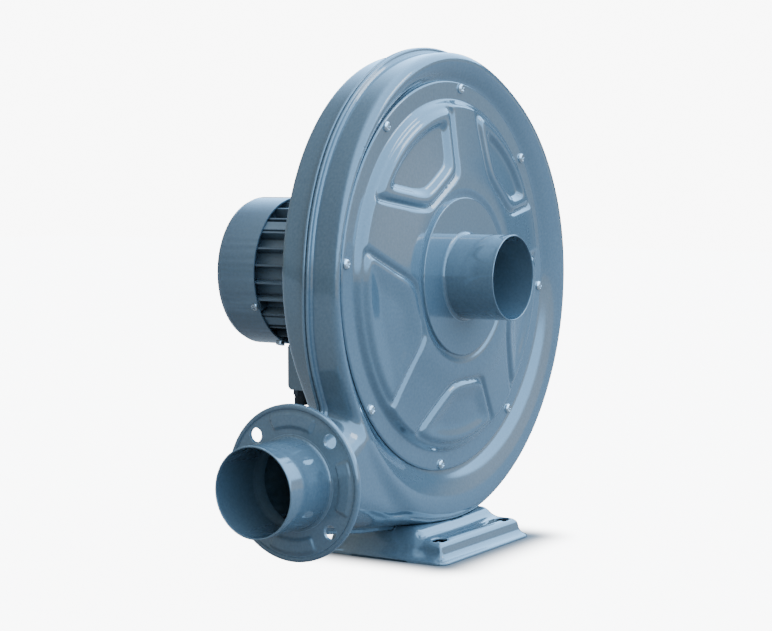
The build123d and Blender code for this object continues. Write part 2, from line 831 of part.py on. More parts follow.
with BuildPart() as front_shield:
    add(ring_y(shield_face_y, frame_front_y, front_shield_r, shaft_r + 1.0))
    add(ring_y(frame_front_y, frame_front_y + spigot_l, frame_bore_r - fit, frame_bore_r - 5))
    add(ring_y(front_seat_y, frame_front_y + 1, bearing_out_r + fit / 10), mode=Mode.SUBTRACT)
    rims = front_shield.edges().filter_by(GeomType.CIRCLE)
    fillet(rims.filter_by(lambda e: abs(e.radius - front_shield_r) < 0.01), radius=1.5)
    holes = rod_y(flange_bolt_places, shield_face_y - 1, shield_face_y + 9, motor_bolt_r + fit)
    add(holes, mode=Mode.SUBTRACT)
    add(rod_y(tie_places, shield_face_y + 3, frame_front_y + 1, tie_r + fit), mode=Mode.SUBTRACT)
save(front_shield, "front_shield")

with BuildPart() as motor_frame:
    add(ring_y(frame_front_y, frame_rear_y, frame_wall_r))
    for k in range(fins_n):
        a = 360 / fins_n * (k + 0.5)
        with Locations(outward(a, (fin_front_y + fin_rear_y) / 2, (frame_bore_r + fin_tip_r) / 2)):
            Box(fin_tip_r - frame_bore_r, fin_rear_y - fin_front_y, fin_t)
    for a in tie_angles:
        with Locations(outward(a, (frame_front_y + frame_rear_y) / 2, (frame_bore_r + fin_tip_r) / 2)):
            Box(fin_tip_r - frame_bore_r, frame_rear_y - frame_front_y, tie_boss_w)
    with Locations(((box_x0 + box_x1) / 2, (box_y0 + box_y1) / 2, box_z1 + 6)):
        Box(pad_w, pad_l, 12)
    with Locations(((box_x0 + box_x1) / 2, (box_y0 + box_y1) / 2, box_z1 - 10)):
        Box(box_x1 - box_x0 + 12, box_y1 - box_y0 + 6, 20, mode=Mode.SUBTRACT)
    for a in cowl_screw_angles + [earth_angle]:
        with Locations(outward(a, cowl_lug_y, (frame_bore_r + cowl_lug_r) / 2)):
            Box(cowl_lug_r - frame_bore_r, cowl_lug_l, cowl_lug_w)
    add(ring_y(frame_front_y - 1, frame_rear_y + 1, frame_bore_r), mode=Mode.SUBTRACT)
    add(rod_y(tie_places, frame_front_y - 1, frame_rear_y + 1, tie_r + fit), mode=Mode.SUBTRACT)
    for a in cowl_screw_angles + [earth_angle]:
        with Locations(drilled(a, cowl_screw_y, cowl_r - 7)):
            Cylinder(cowl_screw_r + fit, 20, mode=Mode.SUBTRACT)
    with Locations(((box_x0 + box_x1) / 2, (box_y0 + box_y1) / 2, box_z1 + 6)):
        Box(wire_hole, wire_hole, 30, mode=Mode.SUBTRACT)
save(motor_frame, "motor_frame")

with BuildPart() as rear_shield:
    add(ring_y(frame_rear_y, rear_shield_y1, rear_shield_r, shaft_r + 1.0))
    add(ring_y(frame_rear_y - spigot_l, frame_rear_y, frame_bore_r - fit, frame_bore_r - 5))
    add(ring_y(frame_rear_y - 1, rear_seat_y + wave_t, bearing_out_r + fit / 10), mode=Mode.SUBTRACT)
    add(rod_y(tie_places, frame_rear_y - 1, rear_shield_y1 + 1, tie_r + fit), mode=Mode.SUBTRACT)
save(rear_shield, "rear_shield")

with BuildPart() as wave_washer:
    add(ring_y(rear_seat_y, rear_seat_y + wave_t, bearing_out_r - 0.3, bearing_out_r - race_t))
save(wave_washer, "wave_washer")

with BuildPart() as fan_cowl:
    add(lathe([
        (cowl_r - cowl_sheet, cowl_front_y), (cowl_r, cowl_front_y), (cowl_r, cowl_rear_y - cowl_round),
        (cowl_r - 0.3 * cowl_round, cowl_rear_y - 0.3 * cowl_round), (cowl_r - cowl_round, cowl_rear_y),
        (0, cowl_rear_y), (0, cowl_rear_y - cowl_sheet),
        (cowl_r - cowl_round - 0.6, cowl_rear_y - cowl_sheet),
        (cowl_r - cowl_sheet - 0.2 * cowl_round, cowl_rear_y - cowl_sheet - 0.3 * cowl_round),
        (cowl_r - cowl_sheet, cowl_rear_y - cowl_sheet - cowl_round),
    ]))
    for r_in in (20.0, 32.0, 44.0):
        with BuildSketch(at_y(cowl_rear_y + 1)):
            Circle(r_in + 8)
            Circle(r_in, mode=Mode.SUBTRACT)
            for k in range(4):
                with Locations(Location((0, 0, 0), (0, 0, 45 * k))):
                    Rectangle(200, 6, mode=Mode.SUBTRACT)
        extrude(amount=cowl_sheet + 2, mode=Mode.SUBTRACT)
    for a in cowl_screw_angles + [earth_angle]:
        with Locations(drilled(a, cowl_screw_y, cowl_r)):
            Cylinder(cowl_screw_r + fit, 8, mode=Mode.SUBTRACT)
save(fan_cowl, "fan_cowl")

with BuildPart() as cowl_screws:
    for a in cowl_screw_angles:
        with Locations(drilled(a, cowl_screw_y, 0)):
            with Locations((0, 0, cowl_r + 1.1)):
                Cylinder(3.8, 2.2)
            with Locations((0, 0, cowl_r - 4)):
                Cylinder(cowl_screw_r, 9)
save(cowl_screws, "cowl_screws")

with BuildPart() as cooling_fan:
    add(ring_y(tail_fan_y0, tail_fan_y0 + tail_fan_disc_t, tail_fan_r - 8))
    add(ring_y(tail_fan_y0, tail_fan_y1, tail_fan_hub_r))
    for k in range(tail_fan_blades):
        angle = 360 / tail_fan_blades * k
        middle = (tail_fan_r + tail_fan_hub_r - 1) / 2
        with Locations(outward(angle, (tail_fan_y0 + tail_fan_y1) / 2, middle)):
            Box(tail_fan_r - tail_fan_hub_r + 1, tail_fan_y1 - tail_fan_y0, tail_fan_blade_t)
    add(ring_y(tail_fan_y0 - 1, tail_fan_y1 + 1, shaft_r + fit / 10), mode=Mode.SUBTRACT)
save(cooling_fan, "cooling_fan")

stator_in_r = rotor_core_r + air_gap
with BuildPart() as stator_core:
    add(ring_y(core_front_y, core_rear_y, frame_bore_r - fit / 10, stator_in_r))
    with BuildSketch(at_y(core_rear_y + 1)):
        with PolarLocations((slot_in_r + slot_out_r) / 2, stator_slots):
            Rectangle(slot_out_r - slot_in_r, stator_slot_w)
    extrude(amount=core_rear_y - core_front_y + 2, mode=Mode.SUBTRACT)
save(stator_core, "stator_core")

with BuildPart() as stator_windings:
    add(ring_y(core_front_y - winding_l, core_front_y - 1, slot_out_r - 0.2, slot_in_r + 0.2))
    fillet(stator_windings.edges().group_by(Axis.Y)[0], radius=3)
    add(ring_y(core_rear_y + 1, core_rear_y + winding_l, slot_out_r - 0.2, slot_in_r + 0.2))
    fillet(stator_windings.edges().group_by(Axis.Y)[-1], radius=3)
    with BuildSketch(at_y(core_rear_y + 2)):
        with PolarLocations((slot_in_r + slot_out_r) / 2, stator_slots):
            Rectangle(slot_out_r - slot_in_r - 1.0, stator_slot_w - 0.4)
    extrude(amount=core_rear_y - core_front_y + 4)
save(stator_windings, "stator_windings")

with BuildPart() as rotor_core:
    add(ring_y(core_front_y, core_rear_y, rotor_core_r, shaft_core_r + fit / 10))
save(rotor_core, "rotor_core")

with BuildPart() as rotor_end_rings:
    add(ring_y(core_front_y - 5, core_front_y, rotor_core_r - 1.5, 19))
    add(ring_y(core_rear_y, core_rear_y + 5, rotor_core_r - 1.5, 19))
save(rotor_end_rings, "rotor_end_rings")

with BuildPart() as tie_bolts:
    add(rod_y(tie_places, shield_face_y + 5, rear_shield_y1, tie_r))
    with BuildSketch(at_y(rear_shield_y1 + 3)):
        with Locations(*[polar(*place) for place in tie_places]):
            RegularPolygon(4.0, 6)
    extrude(amount=3)
save(tie_bolts, "tie_bolts")

with BuildPart() as motor_bolts:
    with BuildSketch(at_y(rear_y - sheet)):
        with Locations(*[polar(*place) for place in flange_bolt_places]):
            RegularPolygon(5.6, 6)
    extrude(amount=3.0)
    add(rod_y(flange_bolt_places, rear_y - sheet, shield_face_y + 8, motor_bolt_r))
save(motor_bolts, "motor_bolts")

with BuildPart() as earth_screw:
    with Locations(drilled(earth_angle, cowl_screw_y, 0)):
        with Locations((0, 0, cowl_r + earth_head_h / 2)):
            Cylinder(earth_head_r, earth_head_h)
        with Locations((0, 0, cowl_r - 4)):
            Cylinder(cowl_screw_r, 9)
save(earth_screw, "earth_screw")

# Terminal box
box_mid = ((box_x0 + box_x1) / 2, (box_y0 + box_y1) / 2, (box_z0 + box_z1) / 2)
box_size = (box_x1 - box_x0, box_y1 - box_y0, box_z1 - box_z0)
with BuildPart() as terminal_box:
    with Locations(box_mid):
        Box(*box_size)
    fillet(terminal_box.edges().filter_by(Axis.X), radius=box_round)
    with Locations((box_mid[0] + box_wall, box_mid[1], box_mid[2])):
        Box(box_size[0], box_size[1] - 2 * box_wall, box_size[2] - 2 * box_wall, mode=Mode.SUBTRACT)
    for y in (box_y0 + lid_screw_inset, box_y1 - lid_screw_inset):
        for z in (box_z0 + lid_screw_inset, box_z1 - lid_screw_inset):
            with Locations((box_x1 - lid_boss_l / 2, y, z)):
                Box(lid_boss_l, lid_boss_w, lid_boss_w)
            with Locations((box_x1 - lid_boss_l / 2, y, z)):
                Cylinder(lid_screw_r + fit, lid_boss_l, rotation=(0, 90, 0), mode=Mode.SUBTRACT)
    with Locations((gland_x, gland_y, box_z0)):
        Cylinder(gland_thread_r + fit, 20, mode=Mode.SUBTRACT)
    with Locations((box_mid[0], box_mid[1], box_z1)):
        Box(wire_hole, wire_hole, 20, mode=Mode.SUBTRACT)
save(terminal_box, "terminal_box")

with BuildPart() as lid_gasket:
    with BuildSketch(Plane((box_x1, box_mid[1], box_mid[2]), x_dir=(0, 1, 0), z_dir=(1, 0, 0))):
        RectangleRounded(box_size[1], box_size[2], box_round)
        Rectangle(box_size[1] - 2 * box_wall, box_size[2] - 2 * box_wall, mode=Mode.SUBTRACT)
    extrude(amount=lid_seal_t)
save(lid_gasket, "lid_gasket")

with BuildPart() as terminal_lid:
    with BuildSketch(Plane((box_x1 + lid_seal_t, box_mid[1], box_mid[2]), x_dir=(0, 1, 0), z_dir=(1, 0, 0))):
        RectangleRounded(box_size[1], box_size[2], box_round)
    extrude(amount=box_lid_t)
    fillet(terminal_lid.edges().group_by(Axis.X)[-1], radius=1.2)
    for y in (box_y0 + lid_screw_inset, box_y1 - lid_screw_inset):
        for z in (box_z0 + lid_screw_inset, box_z1 - lid_screw_inset):
            with Locations((box_x1, y, z)):
                Cylinder(lid_screw_r + fit, 20, rotation=(0, 90, 0), mode=Mode.SUBTRACT)
save(terminal_lid, "terminal_lid")

with BuildPart() as lid_screws:
    for y in (box_y0 + lid_screw_inset, box_y1 - lid_screw_inset):
        for z in (box_z0 + lid_screw_inset, box_z1 - lid_screw_inset):
            with Locations((box_x1 - 2, y, z)):
                Cylinder(lid_screw_r, 12, rotation=(0, 90, 0))
            with Locations((box_x1 + lid_seal_t + box_lid_t + 1, y, z)):
                Cylinder(lid_screw_head_r, lid_screw_head_h, rotation=(0, 90, 0))
save(lid_screws, "lid_screws")

block_x = box_x0 + box_wall
block_z = box_mid[2] - 2
stud_x = block_x + block_t + barrier_t - 1
with BuildPart() as terminal_block:
    with Locations((block_x + block_t / 2, box_mid[1], block_z)):
        Box(block_t, block_w, block_h)
    for k in range(3):
        with Locations((block_x + block_t + barrier_t / 2 - 1, box_mid[1] + stud_pitch * (k - 1), block_z)):
            Box(barrier_t, barrier_w, barrier_h)
save(terminal_block, "terminal_block")

with BuildPart() as terminal_studs:
    for k in range(3):
        for dz in (-stud_rise, stud_rise):
            with Locations((stud_x + stud_l / 2, box_mid[1] + stud_pitch * (k - 1), block_z + dz)):
                Cylinder(stud_r, stud_l, rotation=(0, 90, 0))
save(terminal_studs, "terminal_studs")

# Cable gland
with BuildPart() as gland_body:
    with BuildSketch(Plane((gland_x, gland_y, box_z0), x_dir=(1, 0, 0), z_dir=(0, 0, -1))):
        RegularPolygon(gland_r + 1, 6)
    extrude(amount=5)
    with Locations((gland_x, gland_y, box_z0 - 1)):
        Cylinder(gland_thread_r, 16)
    with Locations((gland_x, gland_y, box_z0)):
        Cylinder(gland_bore_r, 60, mode=Mode.SUBTRACT)
save(gland_body, "gland_body")

with BuildPart() as gland_nut:
    with Locations((gland_x, gland_y, box_z0 - 5)):
        Cylinder(gland_r, 9, align=(Align.CENTER, Align.CENTER, Align.MAX))
        Cylinder(gland_thread_r + fit, 4, align=(Align.CENTER, Align.CENTER, Align.MAX), mode=Mode.SUBTRACT)
        Cylinder(gland_bore_r, 30, mode=Mode.SUBTRACT)
    fillet(gland_nut.edges().group_by(Axis.Z)[0], radius=1.2)
save(gland_nut, "gland_nut")

with BuildPart() as gland_plug:
    with Locations((gland_x, gland_y, box_z0 - 1)):
        Cylinder(gland_bore_r - fit, 12, align=(Align.CENTER, Align.CENTER, Align.MAX))
save(gland_plug, "gland_plug")
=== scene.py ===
from math import cos, hypot, pi, radians, sin

import bmesh
import bpy
import numpy as np
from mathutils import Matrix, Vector


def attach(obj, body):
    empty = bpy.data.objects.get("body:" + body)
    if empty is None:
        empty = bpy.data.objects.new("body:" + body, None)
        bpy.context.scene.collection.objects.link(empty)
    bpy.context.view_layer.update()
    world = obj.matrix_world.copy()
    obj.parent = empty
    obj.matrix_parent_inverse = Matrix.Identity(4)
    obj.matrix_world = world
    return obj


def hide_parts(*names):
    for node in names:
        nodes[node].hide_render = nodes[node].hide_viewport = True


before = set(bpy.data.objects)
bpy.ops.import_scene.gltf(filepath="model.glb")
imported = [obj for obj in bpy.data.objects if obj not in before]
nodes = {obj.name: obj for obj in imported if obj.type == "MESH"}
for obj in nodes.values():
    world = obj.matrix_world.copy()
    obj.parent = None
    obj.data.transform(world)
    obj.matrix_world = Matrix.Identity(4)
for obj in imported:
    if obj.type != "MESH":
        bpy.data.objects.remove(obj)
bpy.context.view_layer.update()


# Camera, at the photograph's angle
mm = 0.001
axis_z = 245.0
target = Vector((0.0, -25.2, axis_z)) * mm
azimuth = radians(-59.4)
elevation = radians(3.21)
distance = 1.6559
frame_width = 772.0
focal_px = 1845.3
shift_px = (-64.5, -39.7)
sensor = 36.0
back = Vector((sin(azimuth) * cos(elevation), -cos(azimuth) * cos(elevation), sin(elevation)))
camera_data = bpy.data.cameras.new("camera")
camera_data.sensor_fit = "HORIZONTAL"
camera_data.sensor_width = sensor
camera_data.lens = focal_px / frame_width * sensor
camera_data.shift_x = shift_px[0] / frame_width
camera_data.shift_y = shift_px[1] / frame_width
camera_data.clip_start = 0.05
camera_data.clip_end = 50.0
camera = bpy.data.objects.new("camera", camera_data)
camera.location = target + back * distance
camera.rotation_euler = (-back).to_track_quat("-Z", "Y").to_euler()
bpy.context.scene.collection.objects.link(camera)
bpy.context.scene.camera = camera


# Material helpers
def new_material(name):
    material = bpy.data.materials.new(name)
    material.use_nodes = True
    tree = material.node_tree
    tree.nodes.clear()
    out = tree.nodes.new("ShaderNodeOutputMaterial")
    shader = tree.nodes.new("ShaderNodeBsdfPrincipled")
    tree.links.new(shader.outputs[0], out.inputs[0])
    return material, tree, shader


def object_coords(tree):
    return tree.nodes.new("ShaderNodeTexCoord").outputs["Object"]


def noise(tree, vector, scale, detail=3.0, rough=0.5):
    made = tree.nodes.new("ShaderNodeTexNoise")
    made.inputs["Scale"].default_value = scale
    made.inputs["Detail"].default_value = detail
    made.inputs["Roughness"].default_value = rough
    tree.links.new(vector, made.inputs["Vector"])
    return made.outputs["Fac"]


def ramp(tree, value, stops):
    made = tree.nodes.new("ShaderNodeValToRGB")
    tree.links.new(value, made.inputs[0])
    elements = made.color_ramp.elements
    while len(elements) < len(stops):
        elements.new(0.5)
    for element, (position, colour) in zip(elements, stops):
        element.position = position
        element.color = colour if len(colour) == 4 else (*colour, 1.0)
    return made.outputs[0]


def srgb(r, g, b):
    def line(v):
        v = v / 255.0
        return v / 12.92 if v <= 0.04045 else ((v + 0.055) / 1.055) ** 2.4
    return (line(r), line(g), line(b), 1.0)


def ranged(tree, value, start, end, low=0.0, high=1.0, kind="LINEAR"):
    # carries the range from start to end over to low to high
    made = tree.nodes.new("ShaderNodeMapRange")
    made.interpolation_type = kind
    made.inputs["From Min"].default_value = start
    made.inputs["From Max"].default_value = end
    made.inputs["To Min"].default_value = low
    made.inputs["To Max"].default_value = high
    tree.links.new(value, made.inputs["Value"])
    return made.outputs[0]


def span(tree, value, low, high):
    return ranged(tree, value, 0.0, 1.0, low, high)


def feed(tree, value, socket):
    # a socket takes either another node's output or a plain value
    if hasattr(value, "links"):
        tree.links.new(value, socket)
    else:
        socket.default_value = value


def math_node(tree, operation, a, b=0.0):
    made = tree.nodes.new("ShaderNodeMath")
    made.operation = operation
    feed(tree, a, made.inputs[0])
    feed(tree, b, made.inputs[1])
    return made.outputs[0]


def mixed(tree, factor, a, b):
    made = tree.nodes.new("ShaderNodeMix")
    made.data_type = "RGBA"
    tree.links.new(factor, made.inputs[0])
    feed(tree, a, made.inputs[6])
    feed(tree, b, made.inputs[7])
    return made.outputs[2]


def bump(tree, shader, height, strength, distance):
    made = tree.nodes.new("ShaderNodeBump")
    made.inputs["Strength"].default_value = strength
    made.inputs["Distance"].default_value = distance
    tree.links.new(height, made.inputs["Height"])
    tree.links.new(made.outputs[0], shader.inputs["Normal"])


def edge_mask(tree, low, high):
    # high on convex edges, from the surface's pointiness; it places the painted edge highlight
    geometry = tree.nodes.new("ShaderNodeNewGeometry")
    return ranged(tree, geometry.outputs["Pointiness"], low, high)


# Where the slow noise turns from the dark tone to the light one, and the tones of dust
# specks and of the painted highlight on the enamel's convex edges
tone_low, tone_high = 0.3, 0.7
speck_tone = srgb(200, 215, 225)
edge_highlight_tone = srgb(150, 175, 192)
speck_share = 0.08
edge_highlight_share = 0.35


def paint(name, dark, light, rough=(0.2, 0.3), peel=0.00012, coat=0.35, specular=0.5):
    # enamel over pressed sheet: slow colour drift, dust specks, a painted highlight on convex
    # edges, fine orange peel, worn gloss in patches
    material, tree, shader = new_material(name)
    where = object_coords(tree)
    slow = noise(tree, where, scale=7.0, detail=3.0)
    colour = ramp(tree, slow, [(tone_low, dark), (tone_high, light)])
    specks = noise(tree, where, scale=420.0, detail=2.0)
    colour = mixed(tree, span(tree, specks, 0.0, speck_share), colour, speck_tone)
    # painted highlight: convex edges are mixed toward a lighter blue tone
    edge_highlight = edge_mask(tree, 0.53, 0.62)
    colour = mixed(tree, span(tree, edge_highlight, 0.0, edge_highlight_share), colour, edge_highlight_tone)
    tree.links.new(colour, shader.inputs["Base Color"])
    patches = noise(tree, where, scale=26.0, detail=4.0)
    tree.links.new(span(tree, patches, *rough), shader.inputs["Roughness"])
    shader.inputs["Specular IOR Level"].default_value = specular
    shader.inputs["Coat Weight"].default_value = coat
    shader.inputs["Coat Roughness"].default_value = 0.03
    skin = noise(tree, where, scale=240.0, detail=2.0)
    bump(tree, shader, skin, strength=0.3, distance=peel)
    return material


def metal(name, colour, rough=(0.25, 0.4), grain=300.0, depth=0.00005, spread=0.25):
    # bare metal with a clouded tone and a fine grain
    material, tree, shader = new_material(name)
    where = object_coords(tree)
    cloud = noise(tree, where, scale=60.0, detail=4.0)
    darker = tuple(c * (1.0 - spread) for c in colour[:3]) + (1.0,)
    tone = ramp(tree, cloud, [(tone_low, darker), (tone_high, colour)])
    tree.links.new(tone, shader.inputs["Base Color"])
    tree.links.new(span(tree, cloud, *rough), shader.inputs["Roughness"])
    shader.inputs["Metallic"].default_value = 1.0
    bump(tree, shader, noise(tree, where, grain, detail=3.0), strength=0.4, distance=depth)
    return material


def plastic(name, dark, light, rough=(0.4, 0.55), grain=500.0, depth=0.00008):
    # moulded or varnished surface with a faint grain
    material, tree, shader = new_material(name)
    where = object_coords(tree)
    cloud = noise(tree, where, scale=30.0)
    tone = ramp(tree, cloud, [(tone_low, dark), (tone_high, light)])
    tree.links.new(tone, shader.inputs["Base Color"])
    patches = noise(tree, where, scale=80.0)
    tree.links.new(span(tree, patches, *rough), shader.inputs["Roughness"])
    bump(tree, shader, noise(tree, where, grain, detail=2.0), strength=0.5, distance=depth)
    return material


# Finishes, one for each slot of the record
finishes = {
    "casing_paint": paint(
        "casing_enamel", srgb(75, 89, 97), srgb(83, 98, 106),
        rough=(0.09, 0.15), peel=0.00006, coat=1.0, specular=0.8),
    "motor_paint": paint(
        "motor_enamel", srgb(36, 48, 57), srgb(43, 56, 66),
        rough=(0.16, 0.26), peel=0.0001, coat=0.8),
    "box_paint": paint(
        "box_enamel", srgb(18, 25, 30), srgb(24, 32, 38), rough=(0.3, 0.45), coat=0.1),
    "zinc": metal("bright_zinc", srgb(222, 226, 228), rough=(0.16, 0.3)),
    "wheel_steel": metal("wheel_steel", srgb(150, 152, 152), rough=(0.35, 0.55)),
    "cast_hub": metal(
        "cast_hub", srgb(160, 162, 163), rough=(0.45, 0.65), grain=160.0, depth=0.0002),
    "bare_steel": metal("bare_steel", srgb(176, 178, 180), rough=(0.2, 0.35)),
    "core_steel": metal("core_steel", srgb(90, 90, 92), rough=(0.5, 0.65)),
    "windings": plastic(
        "winding_varnish", srgb(110, 52, 24), srgb(140, 72, 34), rough=(0.3, 0.45), grain=800.0),
    "black_rubber": plastic(
        "black_rubber", srgb(20, 20, 21), srgb(30, 30, 31), rough=(0.6, 0.8)),
    "black_plastic": plastic(
        "black_plastic", srgb(17, 18, 20), srgb(26, 27, 29), rough=(0.35, 0.5)),
    "brass": metal("brass", srgb(190, 160, 92), rough=(0.25, 0.4)),
}

# The finned body takes a darker copy of the motor paint, painted shade for the cowl's shadow over
# it, and a duller coat
painted_shade_motor_body = paint(
    "motor_body_enamel", srgb(14, 19, 23), srgb(20, 26, 31),
    rough=(0.3, 0.45), peel=0.0002, coat=0.1)

for node, obj in nodes.items():
    for slot in obj.material_slots:
        slot_name = slot.material.name.split(".")[0]
        # the finned body's darker finish is painted shade
        if node == "motor_frame":
            slot.material = painted_shade_motor_body
        else:
            slot.material = finishes.get(slot_name, slot.material)


# Pieces in mesh code. Shapes are worked out in mm, about the shaft line: x to the right,
# z up from the shaft, y along the shaft.
def piece(name, node, body, slot, points, faces, sharp=35.0):
    mesh = bpy.data.meshes.new(name)
    places = np.asarray(points, float).copy()
    places[:, 2] += axis_z
    mesh.from_pydata((places * mm).tolist(), [], faces)
    turned_out = bmesh.new()
    turned_out.from_mesh(mesh)
    bmesh.ops.recalc_face_normals(turned_out, faces=turned_out.faces[:])
    turned_out.to_mesh(mesh)
    turned_out.free()
    mesh.polygons.foreach_set("use_smooth", [True] * len(mesh.polygons))
    mesh.set_sharp_from_angle(angle=radians(sharp))
    mesh.materials.append(finishes[slot])
    mesh.update()
    made = bpy.data.objects.new(name, mesh)
    bpy.context.scene.collection.objects.link(made)
    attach(made, body)
    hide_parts(node)
    return made


def ring_faces(rows, columns, base=0, flip=False):
    # quads between neighbouring closed rings of points
    faces = []
    for i in range(rows - 1):
        for j in range(columns):
            k = (j + 1) % columns
            quad = (base + i * columns + j, base + i * columns + k,
                    base + (i + 1) * columns + k, base + (i + 1) * columns + j)
            faces.append(quad[::-1] if flip else quad)
    return faces


def smooth_step(value, low, high):
    t = np.clip((value - low) / (high - low), 0.0, 1.0)
    return t * t * (3.0 - 2.0 * t)


# The cover: a pressed disc. Each panel is drawn by its three straight sides, from the
# outer arc inward, along and out again.
cover_r = 174.3
cover_y = -25.2
cover_hole_r = 37.1
cover_sheet = 1.5
step_in_r = 150.5
step_out_r = 158.5
step_h = 7.6
crown_in_r = 86.0
crown_h = 13.0
panel_arc_r = 151.0
plate_dish_r = 71.5
plate_dish_out_r = 78.5
plate_dish_h = 1.5
edge_roll_r = 172.6
edge_roll = 0.9
groove_depth = 2.3
groove_half = 2.4
pillow_rise = 1.0
corner_soft = 3.0
crown_past_step = 4.0
dish_flat = 4.0
dish_end_r = 112.0
pillow_slope = (1.0, 7.0)
exponent_limit = 80

# Each panel: its corners, how deep its middle is sunk, and where that slope starts and ends
panels = [
    ([(-10, 150), (-9, 91), (-59, 60), (-132, 71)], 4.2, 9.0, 16.0),
    ([(34, 150), (48, 87), (90, 53), (138, 61)], 4.2, 9.0, 16.0),
    ([(-146, 28), (-80, -3), (-66, -49), (-106, -104)], 3.0, 3.0, 26.0),
    ([(-66, -131), (-17, -94), (36, -94), (66, -137)], 2.6, 3.0, 20.0),
    ([(102, -113), (81, -52), (90, 0), (148, 14)], 3.0, 3.0, 24.0),
]


def panel_depth_in(x, z, corners):
    # distance inside a panel's edge, with softened corners
    centre = np.mean(corners, axis=0)
    sides = [panel_arc_r - np.hypot(x, z)]
    for (x0, z0), (x1, z1) in zip(corners[:-1], corners[1:]):
        length = hypot(x1 - x0, z1 - z0)
        nx, nz = -(z1 - z0) / length, (x1 - x0) / length
        if nx * (centre[0] - x0) + nz * (centre[1] - z0) < 0:
            nx, nz = -nx, -nz
        sides.append(nx * (x - x0) + nz * (z - z0))
    total = sum(
        np.exp(-np.clip(side, -exponent_limit, exponent_limit) / corner_soft)
        for side in sides)
    return -corner_soft * np.log(total)


def cover_height(x, z):
    # how far the cover stands proud of its rim
    r = np.hypot(x, z)
    height = step_h * (1.0 - smooth_step(r, step_in_r, step_out_r))
    crown = 1.0 - smooth_step(r, crown_in_r, step_in_r + crown_past_step)
    height = height + (crown_h - step_h) * crown
    dish = smooth_step(r, plate_dish_r, plate_dish_out_r)
    height = height + plate_dish_h * dish * (
        1.0 - smooth_step(r, plate_dish_out_r + dish_flat, dish_end_r))
    roll = np.clip((r - edge_roll_r) / (cover_r - edge_roll_r), 0.0, 1.0)
    height = height - edge_roll * roll ** 2
    for corners, sunk, slope_from, slope_to in panels:
        d = panel_depth_in(x, z, corners)
        height = height - groove_depth * np.exp(-(d / groove_half) ** 2)
        height = height + pillow_rise * smooth_step(d, *pillow_slope)
        height = height - sunk * smooth_step(d, slope_from, slope_to)
    return height


def polar_sheet(radii, columns, height, y_at_zero, thickness, back_every):
    # a thin disc from a height over the plane: front grid, back grid and both rims
    angles = np.arange(columns) * 2 * pi / columns
    r, a = np.meshgrid(radii, angles, indexing="ij")
    x, z = r * np.cos(a), r * np.sin(a)
    y = y_at_zero - height(x, z)
    front = np.stack([x, y, z], -1).reshape(-1, 3)
    keep = sorted(set(range(0, len(radii), back_every)) | {len(radii) - 1})
    rear_y = np.minimum(y, y_at_zero) + thickness
    rear = np.stack([x, rear_y, z], -1)[keep].reshape(-1, 3)
    count = len(front)
    faces = ring_faces(len(radii), columns)
    faces += ring_faces(len(keep), columns, count, flip=True)
    last = (len(radii) - 1) * columns
    last_rear = count + (len(keep) - 1) * columns
    for j in range(columns):
        k = (j + 1) % columns
        faces.append((j, count + j, count + k, k))
        faces.append((last + j, last + k, last_rear + k, last_rear + j))
    return np.concatenate([front, rear]), faces


# Rings of points on the cover, closer together where the form bends
cover_columns = 720
cover_back_every = 3
cover_radii = np.concatenate([
    np.linspace(cover_hole_r, 70.5, 6), np.arange(71.5, 84.0, 0.9),
    np.arange(85.2, 150.0, 1.3), np.arange(150.3, 160.0, 0.8),
    [162.0, 166.0, 170.0, 172.4, 173.0, 173.5, 173.9, 174.15, cover_r],
])
cover_form = polar_sheet(
    cover_radii, cover_columns, cover_height, cover_y, cover_sheet, cover_back_every)
piece("cover_pressed", "front_cover", "casing", "casing_paint", *cover_form)


# The scroll casing, as one smooth form that is cut at the seam
sheet = 2.0
seat_y = -22.7
front_y = -31.2
rear_y = 29.8
shoulder_r = 9.0
heel_r = 6.5
scroll = [
    (180, 186.5, 185.0), (160, 188.0, 187.0), (135, 193.0, 191.5), (110, 197.5, 195.5),
    (85, 200.0, 198.5), (60, 201.0, 201.0), (35, 209.5, 209.5), (12, 216.5, 216.5),
    (-12, 219.5, 219.5), (-36, 220.0, 220.0), (-62, 221.0, 221.0), (-84, 222.0, 222.0),
    (-106, 218.0, 216.0), (-128, 204.0, 190.0), (-147, 195.0, 180.5), (-164, 191.0, 182.5),
]
recess_r = 175.7
crest_x, crest_z, crest_r = 9.0, -3.0, 191.5
crest_round = 5.0
seat_soft = 1.2
opening_r = 160.0
shaft_hole_r = 14.0
outlet_z = -159.3
neck_end_x = -206.3
neck_end_r = 39.5
neck_soft = 12.0

# The neck's sections: x, middle y, middle z, half width, half height, corner radius
neck_sections = [
    (-230.0, 0.0, outlet_z, neck_end_r, neck_end_r, neck_end_r),
    (-196.3, 0.0, outlet_z, neck_end_r, neck_end_r, neck_end_r),
    (-112.0, -0.7, -153.2, 29.6, 58.6, 22.0),
    (-72.0, -0.7, -169.8, 28.0, 45.8, 18.0),
    (-34.0, -0.7, -188.5, 23.0, 30.5, 12.0),
    (4.0, -0.7, -194.0, 12.0, 20.0, 10.0),
]


